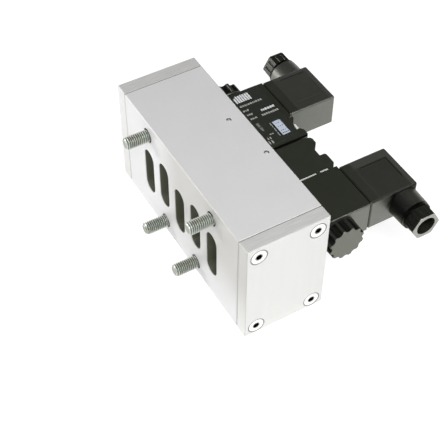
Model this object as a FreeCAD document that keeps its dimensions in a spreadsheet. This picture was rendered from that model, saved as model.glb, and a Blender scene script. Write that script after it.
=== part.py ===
import FreeCAD, Part
import math
import os
import Sketcher
from FreeCAD import Placement, Rotation, Vector

# A five-port spool valve for a sub-base, shifted by two small pilot valves, in millimetres.
# The block lies on its long side. X runs from the port face to the pilot face, Y runs along
# the spool and Z is up. The origin is the centre of the side that the block lies on.
# Every piece is drawn from the middle of the spool's axis, so Z counts from that height there.

SIZES = {
    # aluminium block and its two end plates
    "block_length": 150.0,
    "block_depth": 52.0,
    "block_height": 74.0,
    "axis_height": 36.0,
    "plate_thickness": 8.7,
    "gasket_thickness": 0.5,
    "edge_break": 0.4,
    # port slots in the mounting face
    "port_pitch": 18.7,
    "port_length": 33.5,
    "port_width": 11.4,
    "port_depth": 18.0,
    "main_port_drop": 1.9,
    "outlet_port_rise": 2.75,
    # through bolts that hold the valve on its sub-base
    "bolt_radius": 4.0,
    "bolt_shank_radius": 3.5,
    "bolt_length": 55.0,
    "bolt_thread_gap": 0.3,
    "bolt_tip_chamfer": 1.1,
    "bolt_head_radius": 6.5,
    "bolt_head_height": 8.0,
    "bolt_socket": 6.0,
    "bolt_socket_depth": 4.0,
    "bolt_hole_radius": 4.6,
    "counterbore_radius": 7.0,
    "counterbore_depth": 11.8,
    "upper_bolt_rise": 28.0,
    "lower_bolt_drop": 28.0,
    # countersunk screws of the end plates
    "end_screw_x": 18.5,
    "end_screw_z": 30.1,
    "end_screw_radius": 2.45,
    "end_screw_length": 16.0,
    "end_screw_sink": 0.15,
    "end_screw_socket": 3.6,
    "end_screw_socket_depth": 2.8,
    "end_head_radius": 4.95,
    "end_hole_radius": 2.75,
    "end_countersink": 2.7,
    "end_thread_radius": 2.5,
    "end_thread_depth": 12.0,
    # bore, port annuli and piston chambers
    "bore_radius": 17.0,
    "annulus_radius": 19.5,
    "chamber_radius": 20.0,
    "stack_half": 48.5,
    "retainer_thickness": 2.5,
    "retainer_hole_radius": 11.6,
    # seals and spacer cages round the spool
    "seal_width": 3.5,
    "stack_gap": 0.1,
    "cage_inner_radius": 12.2,
    "cage_window_width": 5.4,
    "cage_window_length": 9.0,
    # spool, which rests against its stop towards -Y
    "spool_radius": 11.0,
    "spool_waist_radius": 6.5,
    "spool_travel": 8.0,
    "spool_half": 55.2,
    "land_half": 7.5,
    "land_bevel": 0.6,
    "end_land_start": 40.5,
    "spool_clearance": 0.05,
    # pistons on the spool's ends
    "piston_radius": 19.5,
    "piston_thickness": 5.0,
    "piston_groove_radius": 16.5,
    "piston_groove_width": 2.6,
    "piston_clearance": 0.06,
    "piston_screw_radius": 2.4,
    "piston_screw_length": 13.0,
    # pilot passages and their plugs
    "channel_x": 23.2,
    "channel_radius": 1.2,
    "channel_start": 12.0,
    "top_plug_radius": 1.6,
    "top_plug_depth": 3.6,
    "supply_y": 3.6,
    "supply_z": -6.5,
    "supply_depth": 9.0,
    "output_y": 14.6,
    "passage_radius": 1.1,
    # pilot valve bodies
    "pilot_gasket_thickness": 0.8,
    "pilot_half_width": 11.15,
    "pilot_end": 23.7,
    "long_layer_start": -4.0,
    "short_layer_start": 5.1,
    "boss_top": 66.2,
    "notch_floor": 62.2,
    "pilot_axis_x": 43.5,
    # screws of the pilot valves, one in each layer
    "pilot_screw_radius": 1.5,
    "pilot_screw_length": 35.0,
    "pilot_screw_head_radius": 2.75,
    "pilot_screw_head_height": 3.0,
    "pilot_screw_hole_radius": 1.7,
    "pilot_screw_seat_x": 56.0,
    "first_screw_z": 5.2,
    "second_screw_y": 19.0,
    "second_screw_z": 6.6,
    # manual override button
    "override_y": 10.0,
    "override_z": 5.2,
    "override_radius": 2.2,
    "override_clearance": 0.07,
    "override_travel": 1.5,
    "override_bottom_x": 50.0,
    "override_proud": 0.7,
    # armature, its tube and the plate that clamps the tube
    "flange_radius": 8.4,
    "flange_thickness": 2.1,
    "seat_y": 15.2,
    "seat_pit_y": 13.5,
    "armature_pit_radius": 4.4,
    "tube_radius": 4.5,
    "tube_bore_radius": 4.1,
    "plunger_clearance": 0.07,
    "plunger_travel": 1.2,
    "core_start": 44.0,
    "core_end": 61.3,
    "stud_radius": 3.5,
    "stud_end": 68.4,
    "spring_pocket_radius": 2.6,
    "spring_pocket_depth": 11.0,
    "spring_radius": 1.8,
    "spring_wire_radius": 0.3,
    "bracket_thickness": 1.2,
    "bracket_reach": 60.3,
    # coil and its nut
    "coil_end": 60.1,
    "coil_reach": 65.8,
    "coil_foot_gap": 0.9,
    "coil_rounding": 0.9,
    "coil_bore_radius": 4.6,
    "coil_nut_radius": 11.7,
    "coil_nut_end": 70.3,
    "coil_nut_flute_radius": 2.6,
    "coil_nut_flute_reach": 12.7,
    # plug, its insert and its gland
    "plug_gasket_thickness": 1.4,
    "plug_gasket_inset": 0.2,
    "plug_gasket_recess": 1.3,
    "plug_start": 26.0,
    "plug_end": 59.7,
    "plug_reach": 99.2,
    "plug_rounding": 1.3,
    "plug_wall": 2.2,
    "plug_cavity_depth": 20.0,
    "plug_line_base": 9.2,
    "plug_line_side": 7.2,
    "plug_line_top": 4.2,
    "plug_line_end": 9.2,
    "plug_line_width": 0.5,
    "plug_line_depth": 0.25,
    "insert_depth": 15.0,
    "terminal_reach": 76.0,
    "terminal_width": 6.3,
    "terminal_thickness": 0.8,
    "terminal_spacing": 11.0,
    "plug_screw_radius": 1.5,
    "plug_screw_head_radius": 3.0,
    "plug_screw_head_height": 2.4,
    "plug_screw_seat_x": 94.6,
    "plug_screw_tip_x": 58.5,
    "gland_x": 90.2,
    "neck_radius": 10.1,
    "neck_end_radius": 9.75,
    "neck_end": 71.3,
    "gland_thread_radius": 7.6,
    "gland_seal_start": 60.3,
    "gland_seal_length": 5.0,
    "gland_hole_radius": 6.3,
    "gland_seal_hole_radius": 3.6,
    "gland_collar_radius": 9.5,
    "gland_collar_length": 1.8,
    "gland_hexagon": 16.5,
    "gland_end": 81.9,
    "gland_rib_radius": 0.7,
}

PORT_COUNT = 5
CAGE_WINDOWS = 8
NUT_FLUTES = 12
SPRING_TURNS = 6
SMALL_CHAMFER = 0.5


class Size:
    """A number together with the sheet expression that gives it."""

    def __init__(self, value, text):
        self.value = value
        self.text = text

    def __add__(self, other):
        return combine(self, "+", other, self.value + amount(other))

    def __radd__(self, other):
        return combine(other, "+", self, amount(other) + self.value)

    def __sub__(self, other):
        return combine(self, "-", other, self.value - amount(other))

    def __rsub__(self, other):
        return combine(other, "-", self, amount(other) - self.value)

    def __mul__(self, other):
        return combine(self, "*", other, self.value * amount(other))

    def __rmul__(self, other):
        return combine(other, "*", self, amount(other) * self.value)

    def __truediv__(self, other):
        return combine(self, "/", other, self.value / amount(other))

    def __neg__(self):
        return Size(-self.value, f"(0 - {self.text})")


def amount(number):
    return number.value if isinstance(number, Size) else float(number)


def wording(number):
    return number.text if isinstance(number, Size) else f"({float(number)!r})"


def combine(left, sign, right, value):
    return Size(value, f"({wording(left)} {sign} {wording(right)})")


class Sheet:
    """The driving dimensions, in a spreadsheet and as Size attributes."""

    def __init__(self, document, sizes):
        cells = document.addObject("Spreadsheet::Sheet", "Sizes")
        for row, (name, value) in enumerate(sizes.items(), start=1):
            cells.set(f"A{row}", name)
            cells.set(f"B{row}", str(value))
            cells.setAlias(f"B{row}", name)
            setattr(self, name, Size(value, f"Sizes.{name}"))
        document.recompute()


doc = FreeCAD.newDocument("Valve")
S = Sheet(doc, SIZES)
nodes = {}

half_length = S.block_length / 2
half_depth = S.block_depth / 2
top_rise = S.block_height - S.axis_height
body_half = half_length - S.plate_thickness - S.gasket_thickness
pilot_foot = half_depth + S.pilot_gasket_thickness
bracket_end = S.pilot_end + S.bracket_thickness
plug_base = S.coil_reach + S.plug_gasket_thickness
plug_middle = (S.plug_start + S.plug_end) / 2
SIDES = {"far": 1, "near": -1}


# Sketch and feature helpers

def bind(item, name, number):
    """Set a property from the sheet, or as a plain number."""
    if isinstance(number, Size):
        item.setExpression(name, number.text)
    else:
        setattr(item, name, number)


def new_body(name):
    body = doc.addObject("PartDesign::Body", name)
    body.Label = name
    return body


def origin_item(body, role):
    return next(item for item in body.Origin.OriginFeatures if item.Role == role)


def new_sketch(body, role, along=0, across=0, offset=0):
    """A sketch on an origin plane, with its own origin shifted in the plane and along its normal."""
    sketch = body.newObject("Sketcher::SketchObject", body.Name + "Outline")
    sketch.AttachmentSupport = [(origin_item(body, role), "")]
    sketch.MapMode = "FlatFace"
    for letter, number in zip("xyz", (along, across, offset)):
        if isinstance(number, Size):
            sketch.setExpression(f"AttachmentOffset.Base.{letter}", number.text)
        else:
            setattr(sketch.AttachmentOffset.Base, letter, number)
    return sketch


def hold(sketch, kind, where, number):
    """Add a dimension, bound to the sheet when it comes from there."""
    index = sketch.addConstraint(Sketcher.Constraint(kind, *where, amount(number)))
    if isinstance(number, Size):
        name = f"size_{index}"
        sketch.renameConstraint(index, name)
        sketch.setExpression("Constraints." + name, number.text)


def hold_point(sketch, shape, point, x, y):
    hold(sketch, "DistanceX", (-1, 1, shape, point), x)
    hold(sketch, "DistanceY", (-1, 1, shape, point), y)


def draw_polygon(sketch, points):
    """A closed outline of straight lines through the points."""
    corners = [Vector(amount(x), amount(y), 0) for x, y in points]
    lines = [
        sketch.addGeometry(Part.LineSegment(start, corners[(index + 1) % len(corners)]), False)
        for index, start in enumerate(corners)
    ]
    for index, line in enumerate(lines):
        following = lines[(index + 1) % len(lines)]
        sketch.addConstraint(Sketcher.Constraint("Coincident", line, 2, following, 1))
    for line, (x, y) in zip(lines, points):
        hold_point(sketch, line, 1, x, y)


def draw_rectangle(sketch, left, low, right, high):
    draw_polygon(sketch, [(left, low), (right, low), (right, high), (left, high)])


def draw_rounded(sketch, corners):
    """A closed outline of straight lines with an arc at each corner, given as x, y and radius."""
    starts, middles, ends = [], [], []
    for index, (x, y, radius) in enumerate(corners):
        here = Vector(amount(x), amount(y), 0)
        others = (corners[index - 1], corners[(index + 1) % len(corners)])
        arms = [Vector(amount(other[0]), amount(other[1]), 0) - here for other in others]
        half = arms[0].getAngle(arms[1]) / 2
        setback = radius / math.tan(half)
        start, end = [
            (x + (other[0] - x) * (setback / arm.Length), y + (other[1] - y) * (setback / arm.Length))
            for other, arm in zip(others, arms)
        ]
        bisector = (arms[0].normalize() + arms[1].normalize()).normalize()
        starts.append(start)
        middles.append(here + bisector * (radius / math.sin(half) - radius))
        ends.append(end)
    draw_arcs_and_lines(sketch, corners, starts, middles, ends)


def draw_arcs_and_lines(sketch, corners, starts, middles, ends):
    """Lines between the corners and, at each rounded corner, an arc that joins them."""
    def vector(point):
        return Vector(amount(point[0]), amount(point[1]), 0)

    following = starts[1:] + starts[:1]
    lines = [
        sketch.addGeometry(Part.LineSegment(vector(start), vector(finish)), False)
        for start, finish in zip(ends, following)
    ]
    for index, line in enumerate(lines):
        before = lines[index - 1]
        hold_point(sketch, line, 1, *ends[index])
        if not corners[index][2]:
            sketch.addConstraint(Sketcher.Constraint("Coincident", before, 2, line, 1))
            continue
        hold_point(sketch, before, 2, *starts[index])
        start = vector(starts[index])
        arc = sketch.addGeometry(Part.Arc(start, middles[index], vector(ends[index])), False)
        forwards = (sketch.getPoint(arc, 1) - start).Length < 1e-6
        first, last = (1, 2) if forwards else (2, 1)
        sketch.addConstraint(Sketcher.Constraint("Coincident", before, 2, arc, first))
        sketch.addConstraint(Sketcher.Constraint("Coincident", arc, last, line, 1))
        hold(sketch, "Radius", (arc,), corners[index][2])


def draw_circle(sketch, x, y, radius):
    centre = Vector(amount(x), amount(y), 0)
    ring = sketch.addGeometry(Part.Circle(centre, Vector(0, 0, 1), amount(radius)), False)
    hold_point(sketch, ring, 3, x, y)
    hold(sketch, "Radius", (ring,), radius)


def draw_slot(sketch, x, y, length, width):
    """An upright slot with round ends."""
    radius = width / 2
    reach = length / 2 - radius
    up = Vector(0, 0, 1)
    ends = []
    for height, start in ((y + reach, 0), (y - reach, math.pi)):
        centre = Vector(amount(x), amount(height), 0)
        circle = Part.Circle(centre, up, amount(radius))
        ends.append(sketch.addGeometry(Part.ArcOfCircle(circle, start, start + math.pi), False))
        hold_point(sketch, ends[-1], 3, x, height)
        hold(sketch, "Radius", (ends[-1],), radius)
    top, bottom = ends
    sides = []
    for first, last in ((top, bottom), (bottom, top)):
        start = sketch.getPoint(first, 2)
        finish = sketch.getPoint(last, 1)
        sides.append(sketch.addGeometry(Part.LineSegment(start, finish), False))
        sketch.addConstraint(Sketcher.Constraint("Tangent", first, 2, sides[-1], 1))
        sketch.addConstraint(Sketcher.Constraint("Tangent", sides[-1], 2, last, 1))


def hexagon_points(across_flats, x=0, y=0):
    corner = across_flats / math.sqrt(3)
    angles = [math.radians(60 * step) for step in range(6)]
    return [(corner * math.cos(angle) + x, corner * math.sin(angle) + y) for angle in angles]


def finish_feature(body, feature, removes):
    """Recompute, and make sure that a cut took something away and a pad added something."""
    before = 0.0
    if feature.BaseFeature is not None:
        before = feature.BaseFeature.Shape.Volume
    doc.recompute()
    if feature.State[0] not in ("Up-to-date",) or feature.Shape.isNull():
        raise RuntimeError(f"{body.Label}: {feature.Name} is {feature.State}")
    grown = feature.Shape.Volume - before
    if (grown < 0) != removes or abs(grown) < 1e-6:
        raise RuntimeError(f"{body.Label}: {feature.Name} changes the volume by {grown:.4f}")
    body.Tip = feature
    return feature


def add_pad(body, sketch, length, backwards=False):
    pad = body.newObject("PartDesign::Pad", body.Name + "Pad")
    pad.Profile = sketch
    bind(pad, "Length", length)
    pad.Reversed = backwards
    return finish_feature(body, pad, False)


def add_pocket(body, sketch, length=None, backwards=False):
    """A pocket against the sketch's normal, or along it when backwards; through all with no length."""
    pocket = body.newObject("PartDesign::Pocket", body.Name + "Pocket")
    pocket.Profile = sketch
    if length is None:
        pocket.Type = "ThroughAll"
    else:
        bind(pocket, "Length", length)
    pocket.Reversed = backwards
    return finish_feature(body, pocket, True)


def add_turned(body, sketch, axis="H_Axis"):
    turned = body.newObject("PartDesign::Revolution", body.Name + "Revolution")
    turned.Profile = sketch
    turned.ReferenceAxis = (sketch, [axis])
    turned.Angle = 360
    return finish_feature(body, turned, False)


def add_groove(body, sketch, axis="H_Axis"):
    groove = body.newObject("PartDesign::Groove", body.Name + "Groove")
    groove.Profile = sketch
    groove.ReferenceAxis = (sketch, [axis])
    groove.Angle = 360
    return finish_feature(body, groove, True)


def add_polar(body, feature, role, count):
    pattern = body.newObject("PartDesign::PolarPattern", body.Name + "Pattern")
    pattern.Originals = [feature]
    pattern.Axis = (origin_item(body, role), [""])
    pattern.Angle = 360
    pattern.Occurrences = count
    body.Tip = pattern
    doc.recompute()
    return pattern


def edge_names(feature, test):
    return [f"Edge{index}" for index, edge in enumerate(feature.Shape.Edges, start=1) if test(edge)]


def round_edge_at(edge, direction, place, radius):
    """True for a full circle of this radius whose centre lies at this place along the direction."""
    if not isinstance(edge.Curve, Part.Circle):
        return False
    centre = edge.Curve.Center.dot(direction)
    return abs(centre - place) < 1e-4 and abs(edge.Curve.Radius - radius) < 1e-4


def dress(body, kind, names, number):
    """Chamfer or fillet the named edges of the body's tip."""
    base = body.Tip
    feature = body.newObject(f"PartDesign::{kind}", body.Name + kind)
    feature.Base = (base, names)
    bind(feature, "Size" if kind == "Chamfer" else "Radius", number)
    return finish_feature(body, feature, True)


def place(item, side=1, shift=0):
    """Put a piece drawn about the spool's axis into the valve; the near side is turned over."""
    turn = Rotation(Vector(1, 0, 0), 0 if side > 0 else 180)
    item.Placement = Placement(Vector(0, amount(shift), amount(S.axis_height)), turn)
    item.setExpression("Placement.Base.z", S.axis_height.text)
    if isinstance(shift, Size):
        item.setExpression("Placement.Base.y", shift.text)


def keep(name, item):
    nodes[name] = item


def keep_copies(name, item, spots, side=1):
    """Keep one node that holds a copy of the item's solid at each spot."""
    doc.recompute()
    copies = []
    for spot in spots:
        solid = item.Shape.copy()
        solid.Placement = Placement()
        solid.translate(Vector(*(amount(part) for part in spot)))
        copies.append(solid)
    group = doc.addObject("Part::Feature", name)
    group.Label = name
    group.Shape = Part.makeCompound(copies)
    place(group, side)
    keep(name, group)


# Aluminium block

def port_positions():
    """Each port's place along the spool and its height from the axis."""
    middle = PORT_COUNT // 2
    return [
        (S.port_pitch * step, S.outlet_port_rise if step % 2 else -S.main_port_drop)
        for step in range(-middle, middle + 1)
    ]


def bolt_positions():
    """Place along the spool and height of the four through bolts."""
    upper = [(sign * 2 * S.port_pitch, S.upper_bolt_rise) for sign in (-1, 1)]
    lower = [(sign * S.port_pitch, -S.lower_bolt_drop) for sign in (-1, 1)]
    return upper + lower


def end_screw_positions():
    return [(a * S.end_screw_x, b * S.end_screw_z) for a in (-1, 1) for b in (-1, 1)]


def pilot_screw_positions():
    """Place along the spool and height of the far pilot valve's screws."""
    return [(Size(0.0, "0"), -S.first_screw_z), (S.second_screw_y, S.second_screw_z)]


def bore_outline():
    """Half section of the stepped bore: a chamber at each end and an annulus at each port."""
    outline = [(-body_half, 0), (-body_half, S.chamber_radius), (-S.stack_half, S.chamber_radius)]
    outline.append((-S.stack_half, S.bore_radius))
    for along, _ in port_positions():
        start = along - S.port_width / 2
        end = along + S.port_width / 2
        outline += [(start, S.bore_radius), (start, S.annulus_radius)]
        outline += [(end, S.annulus_radius), (end, S.bore_radius)]
    outline += [(S.stack_half, S.bore_radius), (S.stack_half, S.chamber_radius)]
    outline += [(body_half, S.chamber_radius), (body_half, 0)]
    return outline


def drill(body, offset, circles, depth=None, backwards=False, role="YZ_Plane"):
    sketch = new_sketch(body, role, offset=offset)
    for x, y, radius in circles:
        draw_circle(sketch, x, y, radius)
    return add_pocket(body, sketch, depth, backwards)


def make_valve_body():
    body = new_body("valve_body")
    sketch = new_sketch(body, "XY_Plane", offset=-S.axis_height)
    draw_rectangle(sketch, -half_depth, -body_half, half_depth, body_half)
    add_pad(body, sketch, S.block_height)
    dress(body, "Chamfer", edge_names(body.Tip, lambda edge: True), S.edge_break)
    cut_ports(body)
    cut_bolt_holes(body)
    cut_end_holes(body)
    cut_pilot_face(body)
    cut_top_channels(body)
    sketch = new_sketch(body, "YZ_Plane")
    draw_polygon(sketch, bore_outline())
    add_groove(body, sketch)
    place(body)
    keep("valve_body", body)


def cut_ports(body):
    sketch = new_sketch(body, "YZ_Plane", offset=-half_depth)
    for along, height in port_positions():
        draw_slot(sketch, along, height, S.port_length, S.port_width)
    add_pocket(body, sketch, S.port_depth, backwards=True)


def cut_bolt_holes(body):
    holes = bolt_positions()
    drill(body, half_depth, [(y, z, S.bolt_hole_radius) for y, z in holes])
    wide = [(y, z, S.counterbore_radius) for y, z in holes]
    drill(body, half_depth, wide, S.counterbore_depth)


def cut_end_holes(body):
    """Threaded holes for the end plates, and the passage from each pilot valve to its chamber."""
    threads = [(x, z, S.end_thread_radius) for x, z in end_screw_positions()]
    passage = [(S.channel_x, 0, S.channel_radius)]
    for offset, backwards in ((-body_half, True), (body_half, False)):
        drill(body, offset, threads, S.end_thread_depth, backwards, "XZ_Plane")
        drill(body, offset, passage, body_half - S.channel_start, backwards, "XZ_Plane")


def cut_pilot_face(body):
    """Screw holes and air passages under the two pilot valves."""
    screws = [
        (sign * y, sign * z, S.pilot_screw_radius)
        for sign in (-1, 1)
        for y, z in pilot_screw_positions()
    ]
    drill(body, half_depth, screws, S.pilot_screw_length - S.pilot_screw_seat_x + half_depth + 0.5)
    outputs = [(sign * S.output_y, 0, S.passage_radius) for sign in (-1, 1)]
    drill(body, half_depth, outputs, half_depth - S.channel_x)
    supplies = [(sign * S.supply_y, sign * S.supply_z, S.passage_radius) for sign in (-1, 1)]
    drill(body, half_depth, supplies, S.supply_depth)


# Two drilled channels are closed by balls in the top face.
TOP_CHANNELS = [(16.4, 16.4, 22.0), (21.4, -17.0, 38.6)]


def cut_top_channels(body):
    seats = [(x, y, S.top_plug_radius) for x, y, _ in TOP_CHANNELS]
    drill(body, top_rise, seats, S.top_plug_depth, role="XY_Plane")
    for x, y, depth in TOP_CHANNELS:
        drill(body, top_rise, [(x, y, S.channel_radius)], depth, role="XY_Plane")


def make_channel_plugs():
    ball = doc.addObject("Part::Sphere", "plug_ball")
    bind(ball, "Radius", S.top_plug_radius)
    height = top_rise - S.top_plug_depth + S.top_plug_radius
    keep_copies("channel_plugs", ball, [(x, y, height) for x, y, _ in TOP_CHANNELS])


def make_mounting_bolts():
    """Socket head bolts whose threaded ends stand out of the mounting face."""
    seat = half_depth - S.counterbore_depth
    tip = seat - S.bolt_length
    body = new_body("mounting_bolt")
    sketch = new_sketch(body, "XZ_Plane")
    draw_polygon(sketch, [
        (tip, 0),
        (tip, S.bolt_radius - S.bolt_tip_chamfer),
        (tip + S.bolt_tip_chamfer, S.bolt_radius),
        (-half_depth - S.bolt_thread_gap, S.bolt_radius),
        (-half_depth - S.bolt_thread_gap, S.bolt_shank_radius),
        (seat, S.bolt_shank_radius),
        (seat, S.bolt_head_radius),
        (seat + S.bolt_head_height - SMALL_CHAMFER, S.bolt_head_radius),
        (seat + S.bolt_head_height, S.bolt_head_radius - SMALL_CHAMFER),
        (seat + S.bolt_head_height, 0),
    ])
    add_turned(body, sketch)
    sketch = new_sketch(body, "YZ_Plane", offset=seat + S.bolt_head_height)
    draw_polygon(sketch, hexagon_points(S.bolt_socket))
    add_pocket(body, sketch, S.bolt_socket_depth)
    keep_copies("mounting_bolts", body, [(0, y, z) for y, z in bolt_positions()])


# End plates

def plate_span(side):
    """Lowest and highest point from the axis, before the near plate is turned over."""
    return (-S.axis_height, top_rise) if side > 0 else (-top_rise, S.axis_height)


def make_end_plate(side_name, side):
    body = new_body("end_plate_" + side_name)
    sketch = new_sketch(body, "XZ_Plane", offset=S.plate_thickness - half_length)
    low, high = plate_span(side)
    draw_rectangle(sketch, -half_depth, low, half_depth, high)
    add_pad(body, sketch, S.plate_thickness, backwards=True)
    dress(body, "Chamfer", edge_names(body.Tip, lambda edge: True), S.edge_break)
    holes = [(x, z, S.end_hole_radius) for x, z in end_screw_positions()]
    drill(body, -half_length, holes, role="XZ_Plane", backwards=True)
    rims = edge_names(body.Tip, lambda edge: round_edge_at(
        edge, Vector(0, 1, 0), amount(half_length), amount(S.end_hole_radius)))
    dress(body, "Chamfer", rims, S.end_countersink)
    sketch = new_sketch(body, "XZ_Plane", offset=S.plate_thickness - half_length)
    reach = S.channel_x + S.channel_radius
    draw_rectangle(sketch, S.bore_radius, -S.channel_radius, reach, S.channel_radius)
    add_pocket(body, sketch, S.channel_radius)
    place(body, side)
    keep("end_plate_" + side_name, body)


def make_end_gasket(side_name, side):
    body = new_body("end_gasket_" + side_name)
    sketch = new_sketch(body, "XZ_Plane", offset=-body_half)
    inset = S.edge_break * 1.5
    low, high = plate_span(side)
    draw_rectangle(sketch, inset - half_depth, low + inset, half_depth - inset, high - inset)
    add_pad(body, sketch, S.gasket_thickness, backwards=True)
    outer = -body_half - S.gasket_thickness
    holes = [(x, z, S.end_hole_radius) for x, z in end_screw_positions()]
    holes.append((0, 0, S.chamber_radius))
    holes.append((S.channel_x, 0, S.channel_radius * 1.2))
    drill(body, outer, holes, role="XZ_Plane", backwards=True)
    place(body, side)
    keep("end_gasket_" + side_name, body)


def make_end_screws(side_name, side):
    """Countersunk socket screws, just under the plate's face."""
    face = half_length - S.end_screw_sink
    cone_base = S.end_screw_radius + S.end_countersink - S.end_screw_sink + 0.3
    body = new_body("end_screw_" + side_name)
    sketch = new_sketch(body, "YZ_Plane")
    draw_polygon(sketch, [
        (face - S.end_screw_length, 0),
        (face - S.end_screw_length, S.end_screw_radius - SMALL_CHAMFER),
        (face - S.end_screw_length + SMALL_CHAMFER, S.end_screw_radius),
        (face - cone_base + S.end_screw_radius, S.end_screw_radius),
        (face - cone_base + S.end_head_radius, S.end_head_radius),
        (face, S.end_head_radius),
        (face, 0),
    ])
    add_turned(body, sketch)
    sketch = new_sketch(body, "XZ_Plane", offset=-face)
    draw_polygon(sketch, hexagon_points(S.end_screw_socket))
    add_pocket(body, sketch, S.end_screw_socket_depth, backwards=True)
    spots = [(x, 0, z) for x, z in end_screw_positions()]
    keep_copies("end_plate_screws_" + side_name, body, spots, side)


# Spool, its seals and its cages

def turned_piece(name, outline, offset=0):
    """A piece of revolution about the spool's axis, or about a parallel axis shifted along X."""
    body = new_body(name)
    sketch = new_sketch(body, "YZ_Plane", offset=offset)
    draw_polygon(sketch, outline)
    add_turned(body, sketch)
    return body


def make_spacer_cage(number, along):
    """A ring between two seals, with windows for the air."""
    half = (S.port_pitch - S.seal_width - S.stack_gap) / 2
    outer = S.bore_radius - S.stack_gap
    body = turned_piece(f"spacer_cage_{number}", [
        (-half, S.cage_inner_radius), (half, S.cage_inner_radius), (half, outer), (-half, outer),
    ])
    sketch = new_sketch(body, "YZ_Plane")
    width = S.cage_window_width / 2
    length = S.cage_window_length / 2
    draw_rectangle(sketch, -length, -width, length, width)
    window = add_pocket(body, sketch, backwards=True)
    add_polar(body, window, "Y_Axis", CAGE_WINDOWS)
    place(body, shift=along)
    keep(f"spacer_cage_{number}", body)


def make_spool_seals():
    """Six lip rings, one beside every port."""
    half = S.seal_width / 2
    outer = S.bore_radius - S.stack_gap
    inner = S.spool_radius + S.spool_clearance
    lip = half / 2
    ring = turned_piece("spool_seal", [
        (-half, outer), (-half, inner + 1.2), (-lip, inner), (lip, inner), (half, inner + 1.2),
        (half, outer),
    ])
    spots = [(0, S.port_pitch * (step - PORT_COUNT / 2), 0) for step in range(PORT_COUNT + 1)]
    keep_copies("spool_seals", ring, spots)


def make_stack_retainer(side_name, side):
    """The ring that keeps seals and cages in the bore."""
    outer = S.chamber_radius - S.stack_gap
    start = S.stack_half
    end = start + S.retainer_thickness
    body = turned_piece("stack_retainer_" + side_name, [
        (start, S.retainer_hole_radius), (end, S.retainer_hole_radius), (end, outer),
        (start, outer),
    ])
    place(body, side)
    keep("stack_retainer_" + side_name, body)


def land(start, end):
    """Outline of a land between two waists, with bevelled edges."""
    return [
        (start, S.spool_waist_radius), (start, S.spool_radius - S.land_bevel),
        (start + S.land_bevel, S.spool_radius), (end - S.land_bevel, S.spool_radius),
        (end, S.spool_radius - S.land_bevel), (end, S.spool_waist_radius),
    ]


def make_spool():
    outline = [(-S.spool_half, 0), (-S.spool_half, S.spool_radius)]
    outline += land(-S.spool_half, -S.end_land_start)[3:]
    for centre in (-S.port_pitch, S.port_pitch):
        outline += land(centre - S.land_half, centre + S.land_half)
    outline += land(S.end_land_start, S.spool_half)[:3]
    outline += [(S.spool_half, S.spool_radius), (S.spool_half, 0)]
    body = turned_piece("spool", outline)
    hole = [(0, 0, S.piston_screw_radius)]
    for offset, backwards in ((-S.spool_half, True), (S.spool_half, False)):
        drill(body, offset, hole, S.piston_screw_length, backwards, "XZ_Plane")
    place(body, shift=-S.spool_travel / 2)
    keep("spool", body)


def make_piston(side_name, side):
    start = S.spool_half
    end = start + S.piston_thickness
    middle = (start + end) / 2
    groove = S.piston_groove_width / 2
    sink = S.piston_screw_radius + 2.4
    body = turned_piece("piston_" + side_name, [
        (start, S.piston_screw_radius), (start, S.piston_radius),
        (middle - groove, S.piston_radius), (middle - groove, S.piston_groove_radius),
        (middle + groove, S.piston_groove_radius), (middle + groove, S.piston_radius),
        (end, S.piston_radius), (end, sink), (end - 2.4, S.piston_screw_radius),
    ])
    place(body, side, -S.spool_travel / 2)
    keep("piston_" + side_name, body)


def make_piston_seal(side_name, side):
    middle = S.spool_half + S.piston_thickness / 2
    half = S.piston_groove_width / 2 - 0.05
    outer = S.chamber_radius - S.piston_clearance
    body = turned_piece("piston_seal_" + side_name, [
        (middle - half, S.piston_groove_radius), (middle - half, outer - 0.4),
        (middle, outer), (middle + half, outer - 0.4), (middle + half, S.piston_groove_radius),
    ])
    place(body, side, -S.spool_travel / 2)
    keep("piston_seal_" + side_name, body)


def make_piston_screws():
    """A countersunk screw through each piston into the spool."""
    face = S.spool_half + S.piston_thickness
    reach = S.piston_screw_radius - 0.05
    head = S.piston_screw_radius + 2.35
    tip = face - S.piston_screw_length
    outline = [(tip, 0), (tip, reach), (face - 2.45, reach), (face - 0.05, head), (face - 0.05, 0)]
    solids = []
    for side_name, side in SIDES.items():
        body = turned_piece("piston_screw_" + side_name, outline)
        sketch = new_sketch(body, "XZ_Plane", offset=0.05 - face)
        draw_polygon(sketch, hexagon_points(3.0))
        add_pocket(body, sketch, 1.8, backwards=True)
        solid = body.Shape.copy()
        solid.rotate(Vector(0, 0, 0), Vector(1, 0, 0), 0 if side > 0 else 180)
        solids.append(solid)
    group = doc.addObject("Part::Feature", "piston_screws")
    group.Label = "piston_screws"
    group.Shape = Part.makeCompound(solids)
    place(group, shift=-S.spool_travel / 2)
    keep("piston_screws", group)


# Pilot valves. Both are one product: the near one is the far one turned over about X.
# Each body has a long layer that passes over the other body's short one.

def long_layer():
    """Plan of the long layer: two bosses for screws with a notch between them."""
    start = S.long_layer_start
    return [
        (pilot_foot, start, 0), (S.notch_floor + 0.3, start, 0.8),
        (S.boss_top - 0.7, start + 1.2, 0.8), (S.boss_top, start + 2.4, 0.8),
        (S.boss_top, 2.4, 1.2), (S.notch_floor, 7.2, 1.5), (S.notch_floor, 12.7, 0.4),
        (S.boss_top - 0.8, 12.6, 1.0), (S.boss_top, 13.9, 0.9), (S.boss_top, 21.6, 1.2),
        (S.boss_top - 1.6, S.pilot_end, 0.8), (pilot_foot, S.pilot_end, 0),
    ]


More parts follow.
